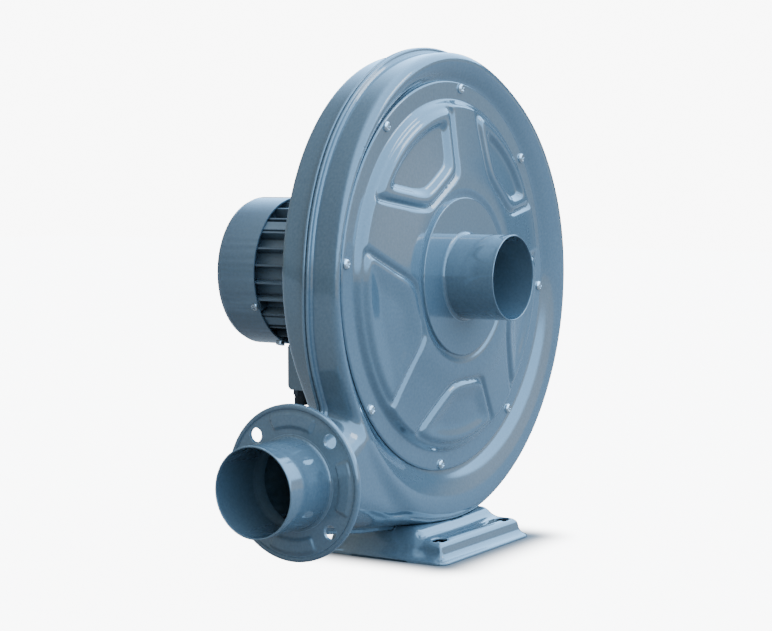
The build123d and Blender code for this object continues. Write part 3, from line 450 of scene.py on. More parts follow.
def around(column, angles):
    # a smooth closed curve through one column of the scroll's table
    rows = sorted(scroll)
    knots = np.array([row[0] for row in rows], float)
    values = np.array([row[column] for row in rows], float)
    knots = np.concatenate([knots[-2:] - 360, knots, knots[:2] + 360])
    values = np.concatenate([values[-2:], values, values[:2]])
    slopes = np.zeros_like(values)
    slopes[1:-1] = (values[2:] - values[:-2]) / (knots[2:] - knots[:-2])
    place = np.clip(np.searchsorted(knots, angles) - 1, 1, len(knots) - 3)
    width = knots[place + 1] - knots[place]
    t = (angles - knots[place]) / width
    a, b = values[place], values[place + 1]
    p, q = slopes[place] * width, slopes[place + 1] * width
    through = a * (2 * t**3 - 3 * t**2 + 1) + p * (t**3 - 2 * t**2 + t)
    return through + b * (3 * t**2 - 2 * t**3) + q * (t**3 - t**2)


def soft_max(a, b, soft):
    mix = np.clip(soft - np.abs(a - b), 0.0, None) / soft
    return np.maximum(a, b) + mix * mix * soft / 4


def soft_join(a, b, soft):
    # two forms that flow into each other
    return -soft_max(-a, -b, soft)


def rounded_corner(a, b, radius):
    # the distance outside two faces that meet in a round edge
    a = a + radius
    b = b + radius
    outside = np.hypot(np.maximum(a, 0), np.maximum(b, 0))
    return outside + np.minimum(np.maximum(a, b), 0) - radius


def recess_distance(x, y, z, r):
    # the funnel from the crest of the shoulder down to the cover's seat
    rise = (y - seat_y) / (front_y - seat_y)
    lean_x, lean_z = crest_x * rise, crest_z * rise
    mouth = recess_r + (crest_r - recess_r) * rise
    run = crest_r - recess_r + (crest_x * x + crest_z * z) / np.maximum(r, 1.0)
    steep = (seat_y - front_y) / np.hypot(seat_y - front_y, run)
    funnel = (np.hypot(x - lean_x, z - lean_z) - mouth) * steep
    return soft_max(funnel, y - seat_y, seat_soft)


def neck_distance(x, y, z):
    # the neck runs from inside the scroll to the flange and turns from upright to round
    table = np.array(neck_sections).T
    sections = (np.interp(x, table[0], row) for row in table[1:])
    middle_y, middle_z, half_y, half_z, corner = sections
    across, upward = np.abs(y - middle_y) - half_y, np.abs(z - middle_z) - half_z
    return np.maximum(rounded_corner(across, upward, corner), x - neck_sections[-1][0])


def casing_distance(x, y, z):
    # below zero inside the casing's outer form
    r = np.hypot(x, z)
    angles = np.degrees(np.arctan2(z, x))
    seam, rear = around(1, angles), around(2, angles)
    wall = r - np.where(y < 0, seam, seam + (rear - seam) * np.clip(y / rear_y, 0, 1))
    front_edge = rounded_corner(wall, front_y - y, shoulder_r)
    rear_edge = rounded_corner(wall, y - rear_y, heel_r)
    body = np.where(y < 0, front_edge, rear_edge)
    with_neck = soft_join(body, neck_distance(x, y, z), neck_soft)
    return rounded_corner(with_neck, -recess_distance(x, y, z, r), crest_round)


# A form's surface: half the reach over which its slope is taken, the least slope that is
# trusted, the moves onto the surface, and the passes that even out its points
slope_reach = 0.05
least_slope = 0.2
onto_surface = 3
even_passes = 2
even_share = 0.5


def surface_of(distance, low, high, step):
    # a quad mesh of the zero surface of a distance, one point in each cell that it crosses
    axes = [np.arange(a, b + step, step) for a, b in zip(low, high)]
    field = distance(*np.meshgrid(*axes, indexing="ij"))
    below = field < 0
    cells = tuple(n - 1 for n in field.shape)
    total = np.zeros(cells + (3,))
    count = np.zeros(cells)

    def corner_of(values, offset):
        return values[tuple(slice(o, o + n) for o, n in zip(offset, cells))]

    for axis in range(3):
        others = [i for i in range(3) if i != axis]
        for u in (0, 1):
            for v in (0, 1):
                start = [0, 0, 0]
                start[others[0]], start[others[1]] = u, v
                end = list(start)
                end[axis] = 1
                f0, f1 = corner_of(field, start), corner_of(field, end)
                crossed = (f0 < 0) != (f1 < 0)
                t = np.where(crossed, f0 / np.where(crossed, f0 - f1, 1.0), 0.0)
                for i in range(3):
                    part = t if i == axis else float(start[i])
                    total[..., i] += np.where(crossed, part, 0.0)
                count += crossed
    used = count > 0
    number = np.full(cells, -1)
    number[used] = np.arange(used.sum())
    local = total[used] / count[used][:, None]
    points = np.array(low) + (np.argwhere(used) + local) * step
    faces = []
    for axis in range(3):
        b, c = (axis + 1) % 3, (axis + 2) % 3
        ahead = [slice(None)] * 3
        ahead[axis] = slice(1, None)
        behind = [slice(None)] * 3
        behind[axis] = slice(None, -1)
        crossed = below[tuple(behind)] != below[tuple(ahead)]
        spots = np.argwhere(crossed)
        inside = (spots[:, b] > 0) & (spots[:, c] > 0)
        inside &= (spots[:, b] < cells[b]) & (spots[:, c] < cells[c])
        spots = spots[inside]
        quad = []
        for shift_b, shift_c in ((1, 1), (0, 1), (0, 0), (1, 0)):
            cell = spots.copy()
            cell[:, b] -= shift_b
            cell[:, c] -= shift_c
            quad.append(number[cell[:, 0], cell[:, 1], cell[:, 2]])
        quad = np.stack(quad, 1)
        outward = below[spots[:, 0], spots[:, 1], spots[:, 2]]
        faces.append(np.where(outward[:, None], quad, quad[:, ::-1]))
    faces = np.concatenate(faces)
    faces = faces[(faces >= 0).all(1)]
    for _ in range(onto_surface):
        here = distance(*points.T)
        slope = np.stack([
            distance(*(points + slope_reach * unit).T) - distance(*(points - slope_reach * unit).T)
            for unit in np.eye(3)], 1) / (2 * slope_reach)
        points -= (here / np.maximum((slope**2).sum(1), least_slope))[:, None] * slope
    for _ in range(even_passes):
        total = np.zeros_like(points)
        count = np.zeros(len(points))
        for i, j in ((0, 1), (1, 2), (2, 3), (3, 0)):
            for a, b in ((i, j), (j, i)):
                np.add.at(total, faces[:, a], points[faces[:, b]])
                np.add.at(count, faces[:, a], 1.0)
        points += even_share * (total / np.maximum(count, 1.0)[:, None] - points)
    return points, faces


def cut_form(points, faces, cuts):
    # keeps what lies on the side of each plane that its normal points away from
    form = bmesh.new()
    made = [form.verts.new(p) for p in points]
    for face in faces:
        form.faces.new([made[i] for i in face])
    for place, normal in cuts:
        bmesh.ops.bisect_plane(
            form, geom=form.verts[:] + form.edges[:] + form.faces[:], dist=1e-5,
            plane_co=place, plane_no=normal, clear_outer=True)
    return form


# Points of a cut rim that lie this near to the hole's circle move onto it
rim_reach = 6.0


def open_hole(form, radius, wall_y, band):
    # opens a round hole about the shaft line in the wall at wall_y
    low_y, high_y = wall_y - band, wall_y + band
    doomed = []
    for face in form.faces:
        c = face.calc_center_median()
        if low_y < c.y < high_y and hypot(c.x, c.z) < radius:
            doomed.append(face)
    bmesh.ops.delete(form, geom=doomed, context="FACES")
    for vert in form.verts:
        if vert.is_boundary and low_y < vert.co.y < high_y:
            r = hypot(vert.co.x, vert.co.z)
            if abs(r - radius) < rim_reach:
                vert.co.x *= radius / r
                vert.co.z *= radius / r


def thickened(form, thickness):
    # points and faces of the form with an inner skin and closed rims
    form.normal_update()
    form.verts.ensure_lookup_table()
    form.verts.index_update()
    outer = np.array([v.co[:] for v in form.verts])
    inner = np.array([(v.co - v.normal * thickness)[:] for v in form.verts])
    count = len(outer)
    faces = [[v.index for v in f.verts] for f in form.faces]
    faces += [[v.index + count for v in reversed(f.verts)] for f in form.faces]
    for edge in form.edges:
        if edge.is_boundary:
            loop = edge.link_loops[0]
            i, j = loop.vert.index, loop.link_loop_next.vert.index
            faces.append([j, i, i + count, j + count])
    return np.concatenate([outer, inner]), faces


def seam_line(form):
    # the casing's outline along the seam, in order, from one side of the outlet to the other
    on_seam = {v for v in form.verts if abs(v.co.y) < 1e-4 and v.is_boundary}
    linked = {v: [] for v in on_seam}
    for edge in form.edges:
        if edge.is_boundary and edge.verts[0] in on_seam and edge.verts[1] in on_seam:
            a, b = edge.verts
            linked[a].append(b)
            linked[b].append(a)
    start = next(v for v in on_seam if len(linked[v]) == 1)
    order = [start]
    seen = {start}
    while True:
        onward = [v for v in linked[order[-1]] if v not in seen]
        if not onward:
            break
        order.append(onward[0])
        seen.add(onward[0])
    return np.array([(v.co.x, v.co.z) for v in order])


# The lip's points along the seam: their spacing and the passes that even them out
lip_spacing = 2.5
lip_even_passes = 6


def swept_lip(line, profile):
    # sweeps a closed profile of (outward, y) points along the outline
    lengths = np.concatenate([[0], np.cumsum(np.hypot(*np.diff(line, axis=0).T))])
    count = int(lengths[-1] / lip_spacing)
    at = np.linspace(0, lengths[-1], count)
    x, z = np.interp(at, lengths, line[:, 0]), np.interp(at, lengths, line[:, 1])
    for _ in range(lip_even_passes):
        x[1:-1] = (x[:-2] + 2 * x[1:-1] + x[2:]) / 4
        z[1:-1] = (z[:-2] + 2 * z[1:-1] + z[2:]) / 4
    dx, dz = np.gradient(x), np.gradient(z)
    length = np.hypot(dx, dz)
    nx, nz = dz / length, -dx / length
    if (nx * x + nz * z).mean() < 0:
        nx, nz = -nx, -nz
    points = []
    for out, y in profile:
        points.append(np.stack([x + nx * out, np.full(count, y), z + nz * out], 1))
    points = np.stack(points, 1)
    rows, columns = points.shape[:2]
    faces = ring_faces(rows, columns)
    faces.append(list(range(columns))[::-1])
    faces.append([(rows - 1) * columns + j for j in range(columns)])
    return points.reshape(-1, 3), faces


lip_out = 5.0
lip_wide = 3.5
lip_round = 1.5
lip_steps = 6


def lip_profile(side):
    # a rolled edge: a soft root on the wall, a round top and a small groove at the seam
    points = [
        (-1.2, side * 0.05), (-1.2, side * (lip_wide + 1.6)), (0.3, side * (lip_wide + 1.2)),
        (1.2, side * (lip_wide + 0.3)), (2.2, side * lip_wide)]
    middle_out, middle_y = lip_out - lip_round, side * (lip_wide - lip_round)
    for k in range(lip_steps + 1):
        turn = radians(180 / lip_steps * k)
        points.append(
            (middle_out + lip_round * sin(turn), middle_y + side * lip_round * cos(turn)))
    points.append((2.6, side * 0.15))
    return points


def joined(*parts):
    points, faces, start = [], [], 0
    for some, their_faces in parts:
        points.append(np.asarray(some))
        faces += [[i + start for i in face] for face in their_faces]
        start += len(some)
    return np.concatenate(points), faces


# The box that holds the casing, and the spacing of its points
casing_step = 2.0
casing_low = (-214.0, -46.0, -232.0)
casing_high = (228.0, 46.0, 212.0)
casing_points, casing_quads = surface_of(casing_distance, casing_low, casing_high, casing_step)
outlet_cut = ((neck_end_x, 0, 0), (-1, 0, 0))

front_form = cut_form(casing_points, casing_quads, [((0, 0, 0), (0, 1, 0)), outlet_cut])
outline = seam_line(front_form)
open_hole(front_form, opening_r, seat_y, 2.0)
front_parts = joined(thickened(front_form, sheet), swept_lip(outline, lip_profile(-1)))
front_form.free()
piece("front_casing", "front_shell", "casing", "casing_paint", *front_parts, sharp=50.0)

rear_form = cut_form(casing_points, casing_quads, [((0, 0, 0), (0, -1, 0)), outlet_cut])
open_hole(rear_form, shaft_hole_r, rear_y, 1.0)
rear_parts = joined(thickened(rear_form, sheet), swept_lip(outline, lip_profile(1)))
rear_form.free()
piece("rear_casing", "rear_shell", "casing", "casing_paint", *rear_parts, sharp=50.0)


# The foot: a pressed dish with a flared edge, slots and a hump under the scroll
foot_half = (79.0, 65.5)
foot_corner = 10.0
foot_edge_h = 2.4
foot_wall_in = 6.5
foot_top = 18.0
foot_round = 6.0
foot_draft = 0.16
hump_half = (70.5, 36.0)
hump_corner = 12.0
hump_top = 27.5
hump_root = 15.0
hump_draft = 0.62
hump_round = 5.0
foot_sheet = 2.5
edge_round = 1.1
land_soft = 9.0
hump_soft = 7.0
hump_flank = 0.85
slot_places = (56.0, 47.0)
slot_reach = 2.5
slot_round = 5.5
scroll_gap = 0.3
lip_out_gap = 0.4
lip_side_gap = 0.5


def rounded_plan(x, y, half, corner):
    # distance outside a rounded rectangle in plan
    return rounded_corner(np.abs(x) - half[0], np.abs(y) - half[1], corner)


def foot_distance(x, y, z_shaft):
    z = z_shaft + axis_z
    plan = rounded_plan(x, y, foot_half, foot_corner)
    edge = rounded_corner(plan, z - foot_edge_h, edge_round)
    block = rounded_corner(plan + foot_wall_in + foot_draft * z, z - foot_top, foot_round)
    hump_plan = rounded_plan(x, y, hump_half, hump_corner) + hump_draft * (z - hump_root)
    hump = rounded_corner(hump_plan * hump_flank, z - hump_top, hump_round)
    outer = soft_join(soft_join(edge, block, land_soft), hump, hump_soft)
    hollow = np.maximum(outer, -(outer + foot_sheet))
    slot_x = np.maximum(np.abs(np.abs(x) - slot_places[0]) - slot_reach, 0)
    slot = np.hypot(slot_x, np.abs(y) - slot_places[1]) - slot_round
    scroll_near = casing_distance(x, y, z_shaft) - scroll_gap
    lips_out = casing_distance(x, np.zeros_like(y), z_shaft) - lip_out - lip_out_gap
    lips_near = np.maximum(lips_out, np.abs(y) - lip_wide - lip_side_gap)
    near = np.minimum(scroll_near, lips_near)
    return np.maximum(np.maximum(np.maximum(hollow, -slot), -near), -z)


# The box that holds the foot, and the spacing of its points
foot_step = 1.25
foot_low = (-81.0, -68.0, -axis_z - 2.1)
foot_high = (81.0, 68.0, -axis_z + 30.0)
foot_points, foot_quads = surface_of(foot_distance, foot_low, foot_high, foot_step)
foot_points[:, 2] = np.maximum(foot_points[:, 2], -axis_z)
piece("foot_pressed", "base_foot", "casing", "casing_paint",
      foot_points, foot_quads.tolist(), sharp=50.0)


# Small turned and pressed pieces
def turned(profile, columns, along, middle):
    # turns a closed profile of (radius, place) points about an axis through middle
    angles = np.arange(columns) * 2 * pi / columns
    r = np.stack([np.broadcast_to(radius, columns) for radius, place in profile])
    s = np.stack([np.full(columns, place) for radius, place in profile])
    a, b = r * np.cos(angles), r * np.sin(angles)
    if along == "y":
        points = np.stack([a + middle[0], s, b + middle[1]], -1)
    else:
        points = np.stack([s, b + middle[0], a + middle[1]], -1)
    rows = len(profile)
    faces = ring_faces(rows, columns)
    last = (rows - 1) * columns
    for j in range(columns):
        k = (j + 1) % columns
        faces.append((last + j, last + k, k, j))
    return points.reshape(-1, 3), faces


def arc_points(centre, radius, start, end, count):
    # points along an arc in the profile's plane, angles in degrees
    turns = np.radians(np.linspace(start, end, count))
    return [(centre[0] + radius * cos(t), centre[1] + radius * sin(t)) for t in turns]


# The pipes: points round the mouth and along the wall, the plain length behind the mouth,
# and the length of the swage's slope outside and inside
mouth_points = 9
wall_points = 12
mouth_run = 3.0
swage_run = 0.6
swage_run_inside = 1.2


def pipe_profile(out_r, wall, mouth, swage, seat_r, inner):
    # a tube from its rounded mouth to the swaged end that sits behind the weld
    half = wall / 2
    inward = 1.0 if inner > mouth else -1.0
    rim = arc_points((out_r - half, 0.0), half, 180, 360, mouth_points)
    points = [(r, mouth + inward * (half + s)) for r, s in rim]
    steps = np.linspace(mouth + inward * mouth_run, swage, wall_points)
    points += [(out_r, s) for s in steps]
    points += [(seat_r, swage + inward * swage_run), (seat_r, inner)]
    points += [(seat_r - wall, inner), (seat_r - wall, swage)]
    points += [(out_r - wall, swage - inward * swage_run_inside)]
    points += [(out_r - wall, s) for s in steps[::-1][1:]]
    return points


crown_y = cover_y - crown_h
on_shaft = (0.0, 0.0)
on_outlet = (0.0, outlet_z)
pipe_columns = 180
plate_columns = 240
inlet_r = 38.0
inlet_seat_r = 37.0
tube_wall = 1.5
inlet_mouth_y = -89.8
plate_t = 2.4
plate_r = 70.5
plate_hole_r = 37.2
plate_round = 1.0
plate_flat_r = 40.0
plate_edge_run = 0.4
plate_front = crown_y - plate_t
weld_r = 2.6
inlet_inner_y = crown_y + 8.0
piece("inlet_tube", "inlet_pipe", "casing", "casing_paint", *turned(
    pipe_profile(
        inlet_r, tube_wall, inlet_mouth_y, plate_front - weld_r, inlet_seat_r, inlet_inner_y),
    pipe_columns, "y", on_shaft), sharp=50.0)

plate_profile = [(plate_hole_r, crown_y), (plate_hole_r, plate_front)]
plate_profile += [
    (r, plate_front)
    for r in np.linspace(plate_flat_r, plate_r - plate_round - plate_edge_run, 8)]
plate_profile += [
    (plate_r + r, plate_front + s)
    for r, s in arc_points((-plate_round, plate_round), plate_round, 270, 360, 6)]
plate_profile += [(plate_r, crown_y)]
piece("inlet_disc", "inlet_plate", "casing", "casing_paint", *turned(
    plate_profile, plate_columns, "y", on_shaft), sharp=50.0)

outlet_r = 37.4
outlet_seat_r = 36.4
outlet_mouth_x = -263.4
outlet_inner_x = -200.0
flange_face_x = -209.3
piece("outlet_tube", "outlet_pipe", "casing", "casing_paint", *turned(
    pipe_profile(
        outlet_r, tube_wall, outlet_mouth_x, flange_face_x - weld_r, outlet_seat_r,
        outlet_inner_x),
    pipe_columns, "x", on_outlet), sharp=50.0)

# The welds: small concave fillets with a slight ripple round the joint
weld_columns = 200
weld_gap = 0.2
weld_arc = (75, 12)
weld_arc_points = 6
weld_top = weld_r - 0.1


def weld_bead(name, node, seat_r, out_r, root, along, middle):
    angles = np.arange(weld_columns) * 2 * pi / weld_columns
    ripple = 1.0 + 0.05 * np.sin(37 * angles) + 0.04 * np.sin(61 * angles + 1.0)
    section = [(seat_r, 0.0), (out_r + weld_r, 0.0)]
    section += [
        (out_r + weld_r * (1 - cos(t)), weld_r * (1 - sin(t)))
        for t in np.radians(np.linspace(*weld_arc, weld_arc_points))]
    section += [(out_r - 0.05, weld_top), (seat_r, weld_top)]
    rings = []
    for r, s in section:
        grow = ripple if r > out_r + 0.1 else 1.0
        rings.append((np.minimum(out_r + (r - out_r) * grow, out_r + weld_r), root - s))
    form = turned(rings, weld_columns, along, middle)
    piece(name, node, "casing", "casing_paint", *form, sharp=60.0)


weld_bead("inlet_weld_bead", "inlet_weld", inlet_seat_r + weld_gap, inlet_r,
          plate_front, "y", on_shaft)
weld_bead("outlet_weld_bead", "outlet_weld", outlet_seat_r + weld_gap, outlet_r,
          flange_face_x, "x", on_outlet)

# The outlet flange: a pressed disc with a rolled rim, soft raised arcs and four holes
flange_back_x = neck_end_x
flange_in_r = 36.6
flange_out_r = 64.7
flange_hole_pcr = 52.0
flange_hole_r = 6.0
flange_holes = 4
flange_columns = 480
bead_r = 2.3
bead_proud = 1.6
arc_mid_r = 51.75
arc_half_wide = 5.75
arc_half_sweep = radians(23.0)
arc_rise = 1.8
arc_soft = 2.0
arc_corner = 2.0
flange_ring_step = 0.7
bead_angles = (160, 0)
bead_points = 12
hole_rim_reach = 2.0


def flange_face(r, a):
    # how far the face stands proud of the flange's plane
    pitch = 2 * pi / flange_holes
    turn = (a + pitch / 2) % pitch - pitch / 2
    over_r = np.abs(r - arc_mid_r) - arc_half_wide
    over_a = (np.abs(turn) - arc_half_sweep) * arc_mid_r
    outside = rounded_corner(over_r, over_a, arc_corner)
    rise = arc_rise * (1.0 - smooth_step(outside, -arc_soft, arc_soft))
    across = np.clip((r - flange_out_r + bead_r) / bead_r, -1.0, 1.0)
    bead = np.sqrt(np.maximum(1.0 - across * across, 0.0)) * bead_r - (bead_r - bead_proud)
    return np.where(r > flange_out_r - 2 * bead_r, np.maximum(rise, bead), rise)


hole_turns = [pi / 4 + k * pi / 2 for k in range(flange_holes)]
hole_centres = [
    (flange_hole_pcr * sin(turn), outlet_z + flange_hole_pcr * cos(turn)) for turn in hole_turns]


def nearest_hole(co):
    # the nearest hole's middle and how far from it a place is
    hole = min(hole_centres, key=lambda c: hypot(co.y - c[0], co.z - c[1]))
    return hole, hypot(co.y - hole[0], co.z - hole[1])


def flange_disc():
    # points and faces of the flange: its face, its flat back, the holes and the rims
    bead_turns = np.radians(np.linspace(*bead_angles, bead_points))
    radii = np.concatenate([
        np.arange(flange_in_r, flange_out_r - 2 * bead_r + 0.2, flange_ring_step),
        flange_out_r - bead_r + bead_r * np.cos(bead_turns),
    ])
    angles = np.arange(flange_columns) * 2 * pi / flange_columns
    r, a = np.meshgrid(radii, angles, indexing="ij")
    y, z = r * np.sin(a), outlet_z + r * np.cos(a)
    face_x = flange_face_x - flange_face(r, a)
    face_x[-1] = flange_face_x + bead_r - bead_proud
    back_x = np.full_like(r, flange_back_x)
    disc = bmesh.new()
    fronts, backs = (
        [disc.verts.new(p) for p in np.stack([x, y, z], -1).reshape(-1, 3)]
        for x in (face_x, back_x))
    for face in ring_faces(len(radii), flange_columns):
        disc.faces.new([fronts[i] for i in face])
        disc.faces.new([backs[i] for i in face[::-1]])
    doomed = [
        face for face in disc.faces
        if nearest_hole(face.calc_center_median())[1] < flange_hole_r]
    bmesh.ops.delete(disc, geom=doomed, context="FACES")
    for vert in disc.verts:
        hole, away = nearest_hole(vert.co)
        if vert.is_boundary and away < flange_hole_r + hole_rim_reach:
            vert.co.y = hole[0] + (vert.co.y - hole[0]) * flange_hole_r / away
            vert.co.z = hole[1] + (vert.co.z - hole[1]) * flange_hole_r / away
    behind = {i: j for i, j in zip(fronts, backs) if i.is_valid and j.is_valid}
    rims = [
        edge for edge in disc.edges
        if edge.is_boundary and edge.verts[0] in behind and edge.verts[1] in behind]
    for edge in rims:
        loop = edge.link_loops[0]
        i, j = loop.vert, loop.link_loop_next.vert
        disc.faces.new([j, i, behind[i], behind[j]])
    disc.verts.index_update()
    points = np.array([v.co[:] for v in disc.verts])
    faces = [[v.index for v in f.verts] for f in disc.faces]
    disc.free()
    return points, faces


piece("outlet_flange_pressed", "outlet_flange", "casing", "casing_paint",
      *flange_disc(), sharp=40.0)


# Pan-head screws with a cross recess
screw_columns = 64
screw_tip_r = 0.12
recess_rings = [screw_tip_r, 0.3, 0.5, 0.7, 0.9, 1.1, 1.4, 1.8, 2.2, 2.5, 2.8]
head_rings_from = 3.1
head_rings = 7
dome_share = 0.94
cross_edge = (0.35, 0.75)
cross_end = (0.44, 0.58)
cross_depth = 0.55


def screw_points(head_r, head_h, shank_r, shank_l, twist):
    # about its own axis: w outward from the seat, u and v across
    rings = np.concatenate([recess_rings, np.linspace(head_rings_from, head_r, head_rings)])
    rings = rings[rings <= head_r + 1e-6]
    angles = np.arange(screw_columns) * 2 * pi / screw_columns
    r, a = np.meshgrid(rings, angles, indexing="ij")
    dome = head_h * np.sqrt(np.maximum(1.0 - dome_share * (r / head_r) ** 4, 0.0))
    u, v = r * np.cos(a + twist), r * np.sin(a + twist)
    narrow = np.minimum(np.abs(u), np.abs(v))
    long = np.maximum(np.abs(u), np.abs(v))
    ends = 1.0 - smooth_step(long, cross_end[0] * head_r, cross_end[1] * head_r)
    cross = (1.0 - smooth_step(narrow, *cross_edge)) * ends
    w = dome - cross_depth * head_h * cross
    rows = [np.stack([r * np.cos(a), r * np.sin(a), w], -1)]
    below_head = ((head_r, 0.0), (shank_r, 0.0), (shank_r, -shank_l), (screw_tip_r, -shank_l))
    for ring_r, ring_w in below_head:
        flat = np.full(screw_columns, ring_w)
        rows.append(np.stack([ring_r * np.cos(angles), ring_r * np.sin(angles), flat], -1)[None])
    points = np.concatenate(rows)
    faces = ring_faces(len(points), screw_columns)
    faces.append(tuple(range(screw_columns))[::-1])
    start = (len(points) - 1) * screw_columns
    faces.append(tuple(range(start, start + screw_columns)))
    return points.reshape(-1, 3), faces


def set_screw(local, place, outward, side):
    # puts a screw at a place with its axis along outward
    outward, side = np.array(outward, float), np.array(side, float)
    other = np.cross(outward, side)
    across = local[:, :1] * side + local[:, 1:2] * other
    return np.array(place) + across + local[:, 2:3] * outward


# Each kind of screw: head radius and height, shank radius and length
cover_screw = (4.6, 2.6, 2.5, 11.5)
cover_screw_pcr = 169.0
cover_screw_phase = 84.0
cover_screws_n = 8
cowl_r = 69.4
cowl_screw_kind = (3.8, 2.2, 2.0, 8.0)
cowl_screw_y = 146.0
cowl_screw_angles = (206.0, 326.0, 86.0)
twists = np.random.default_rng(7).uniform(0, pi / 2, cover_screws_n + 4)

cover_made = []
for k in range(cover_screws_n):
    a = radians(cover_screw_phase + 360.0 / cover_screws_n * k)
    local, faces = screw_points(*cover_screw, twists[k])
    place = (cover_screw_pcr * cos(a), cover_y, cover_screw_pcr * sin(a))
    cover_made.append((set_screw(local, place, (0, -1, 0), (1, 0, 0)), faces))
piece("cover_pan_screws", "cover_screws", "casing", "zinc", *joined(*cover_made), sharp=40.0)

cowl_made = []
for k, turn in enumerate(cowl_screw_angles):
    a = radians(turn)
    local, faces = screw_points(*cowl_screw_kind, twists[cover_screws_n + k])
    place = (cowl_r * cos(a), cowl_screw_y, cowl_r * sin(a))
    cowl_made.append((set_screw(local, place, (cos(a), 0.0, sin(a)), (0, 1, 0)), faces))
piece("cowl_pan_screws", "cowl_screws", "casing", "zinc", *joined(*cowl_made), sharp=40.0)

# The floor is seen white, with a painted contact shadow that keeps it dim close to the foot
floor_half = 6.0
floor_dark = (0.17, 0.172, 0.175)
floor_light = (0.19, 0.192, 0.195)
floor_white = 8.5
floor_rough = 0.7
shadow_half_x, shadow_half_y = 0.075, 0.062
shadow_fade = 0.06


def studio_floor():
    mesh = bpy.data.meshes.new("floor")
    corners = [(-1, -1), (1, -1), (1, 1), (-1, 1)]
    mesh.from_pydata(
        [(a * floor_half, b * floor_half, 0) for a, b in corners], [], [(0, 1, 2, 3)])
    made = bpy.data.objects.new("floor", mesh)
    bpy.context.scene.collection.objects.link(made)
    material, tree, shader = new_material("floor")
    tone = noise(tree, object_coords(tree), scale=2.0)
    tree.links.new(
        ramp(tree, tone, [(0.0, floor_dark), (1.0, floor_light)]), shader.inputs["Base Color"])
    shader.inputs["Roughness"].default_value = floor_rough
    shader.inputs["Emission Color"].default_value = (1.0, 1.0, 1.0, 1.0)
    where = tree.nodes.new("ShaderNodeSeparateXYZ")
    tree.links.new(object_coords(tree), where.inputs[0])
    squares = []
    for place, half in enumerate((shadow_half_x, shadow_half_y)):
        past = math_node(tree, "ABSOLUTE", where.outputs[place])
        past = math_node(tree, "MAXIMUM", math_node(tree, "SUBTRACT", past, half), 0.0)
        squares.append(math_node(tree, "POWER", past, 2.0))
    away = math_node(tree, "SQRT", math_node(tree, "ADD", *squares))
    # painted contact shadow: the camera's white fades out over the foot and a short band round it
    outside_shadow = ranged(tree, away, 0.0, shadow_fade, kind="SMOOTHERSTEP")
    seen = tree.nodes.new("ShaderNodeLightPath").outputs["Is Camera Ray"]
    white = math_node(tree, "MULTIPLY", math_node(tree, "MULTIPLY", outside_shadow, seen), floor_white)
    tree.links.new(white, shader.inputs["Emission Strength"])
    made.data.materials.append(material)
    return made


floor = studio_floor()

# The studio's tones: a room that is dark behind and grey in front, a blue skylight, and the
# soft light on matt surfaces from below and from above
room_dark = (0.10, 0.12, 0.12, 1.0)
room_light = (0.98, 0.99, 0.92, 1.0)
skylight_dim = (0.20, 0.25, 0.29, 1.0)
skylight_bright = (1.8, 3.4, 5.4, 1.0)
soft_below = (0.22, 0.225, 0.225, 1.0)
soft_above = (1.9, 1.88, 1.82, 1.0)
backdrop_white = 8.8

# Where each tone gives way to the next, along the directions that the tone depends on
room_fade = (-0.30, -0.72)
lit_across = (0.6, 0.8)
lit_fade = (-0.45, 0.15)
climb_from = 0.53
climb_rate = 0.7
sky_edge = (0.01, 0.08)
soft_fade = (-0.15, 0.9)

# The one lamp
key_place = (1.3, -1.9, 1.9)
key_aim = (0, 0, 0.25)
key_size = 0.9
key_power = 12.0
key_colour = (1.0, 0.99, 0.97)


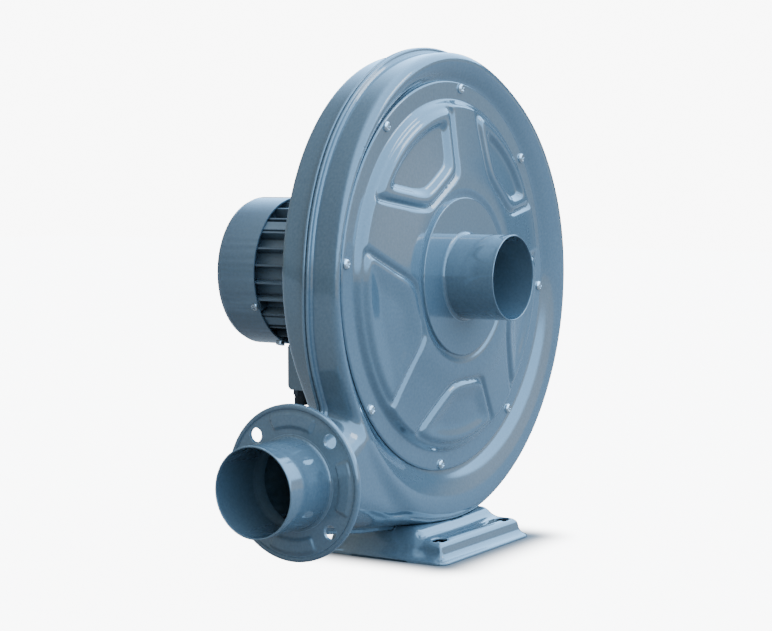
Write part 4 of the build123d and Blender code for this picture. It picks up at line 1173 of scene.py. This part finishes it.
def studio_world():
    world = bpy.data.worlds.new("studio")
    bpy.context.scene.world = world
    world.use_nodes = True
    tree = world.node_tree
    tree.nodes.clear()
    direction = tree.nodes.new("ShaderNodeTexCoord").outputs["Generated"]
    parts = tree.nodes.new("ShaderNodeSeparateXYZ")
    tree.links.new(direction, parts.inputs[0])
    x, y, z = parts.outputs[0], parts.outputs[1], parts.outputs[2]

    def eased(value, low, high):
        return ranged(tree, value, low, high, kind="SMOOTHSTEP")

    def value_of(operation, a, b):
        return math_node(tree, operation, a, b)

    # what glossy paint mirrors: the room, and a skylight whose lower edge climbs to the right
    room = mixed(tree, eased(y, *room_fade), room_dark, room_light)
    right, front = (
        value_of("MULTIPLY", part, share) for part, share in zip((x, y), lit_across))
    lit = eased(value_of("SUBTRACT", right, front), *lit_fade)
    skylight = mixed(tree, lit, skylight_dim, skylight_bright)
    climb = value_of("MAXIMUM", value_of("SUBTRACT", x, climb_from), 0.0)
    above_edge = value_of("SUBTRACT", z, value_of("MULTIPLY", climb, climb_rate))
    mirrored = mixed(tree, eased(above_edge, *sky_edge), room, skylight)

    # what lights the matt surfaces: soft and white from above, dim from below
    soft = mixed(tree, eased(z, *soft_fade), soft_below, soft_above)
    paths = tree.nodes.new("ShaderNodeLightPath")
    sky = mixed(tree, paths.outputs["Is Diffuse Ray"], mirrored, soft)
    glow = tree.nodes.new("ShaderNodeBackground")
    tree.links.new(sky, glow.inputs[0])
    glow.inputs[1].default_value = 1.0
    backdrop = tree.nodes.new("ShaderNodeBackground")
    backdrop.inputs[0].default_value = (1.0, 1.0, 1.0, 1.0)
    backdrop.inputs[1].default_value = backdrop_white
    choice = tree.nodes.new("ShaderNodeMixShader")
    tree.links.new(paths.outputs["Is Camera Ray"], choice.inputs[0])
    tree.links.new(glow.outputs[0], choice.inputs[1])
    tree.links.new(backdrop.outputs[0], choice.inputs[2])
    out = tree.nodes.new("ShaderNodeOutputWorld")
    tree.links.new(choice.outputs[0], out.inputs[0])


def key_light():
    data = bpy.data.lights.new("key", "AREA")
    data.shape = "RECTANGLE"
    data.size = key_size
    data.size_y = key_size
    data.energy = key_power
    data.color = key_colour
    light = bpy.data.objects.new("key", data)
    light.location = key_place
    aim = Vector(key_aim) - Vector(key_place)
    light.rotation_euler = aim.to_track_quat("-Z", "Y").to_euler()
    bpy.context.scene.collection.objects.link(light)


studio_world()
key_light()
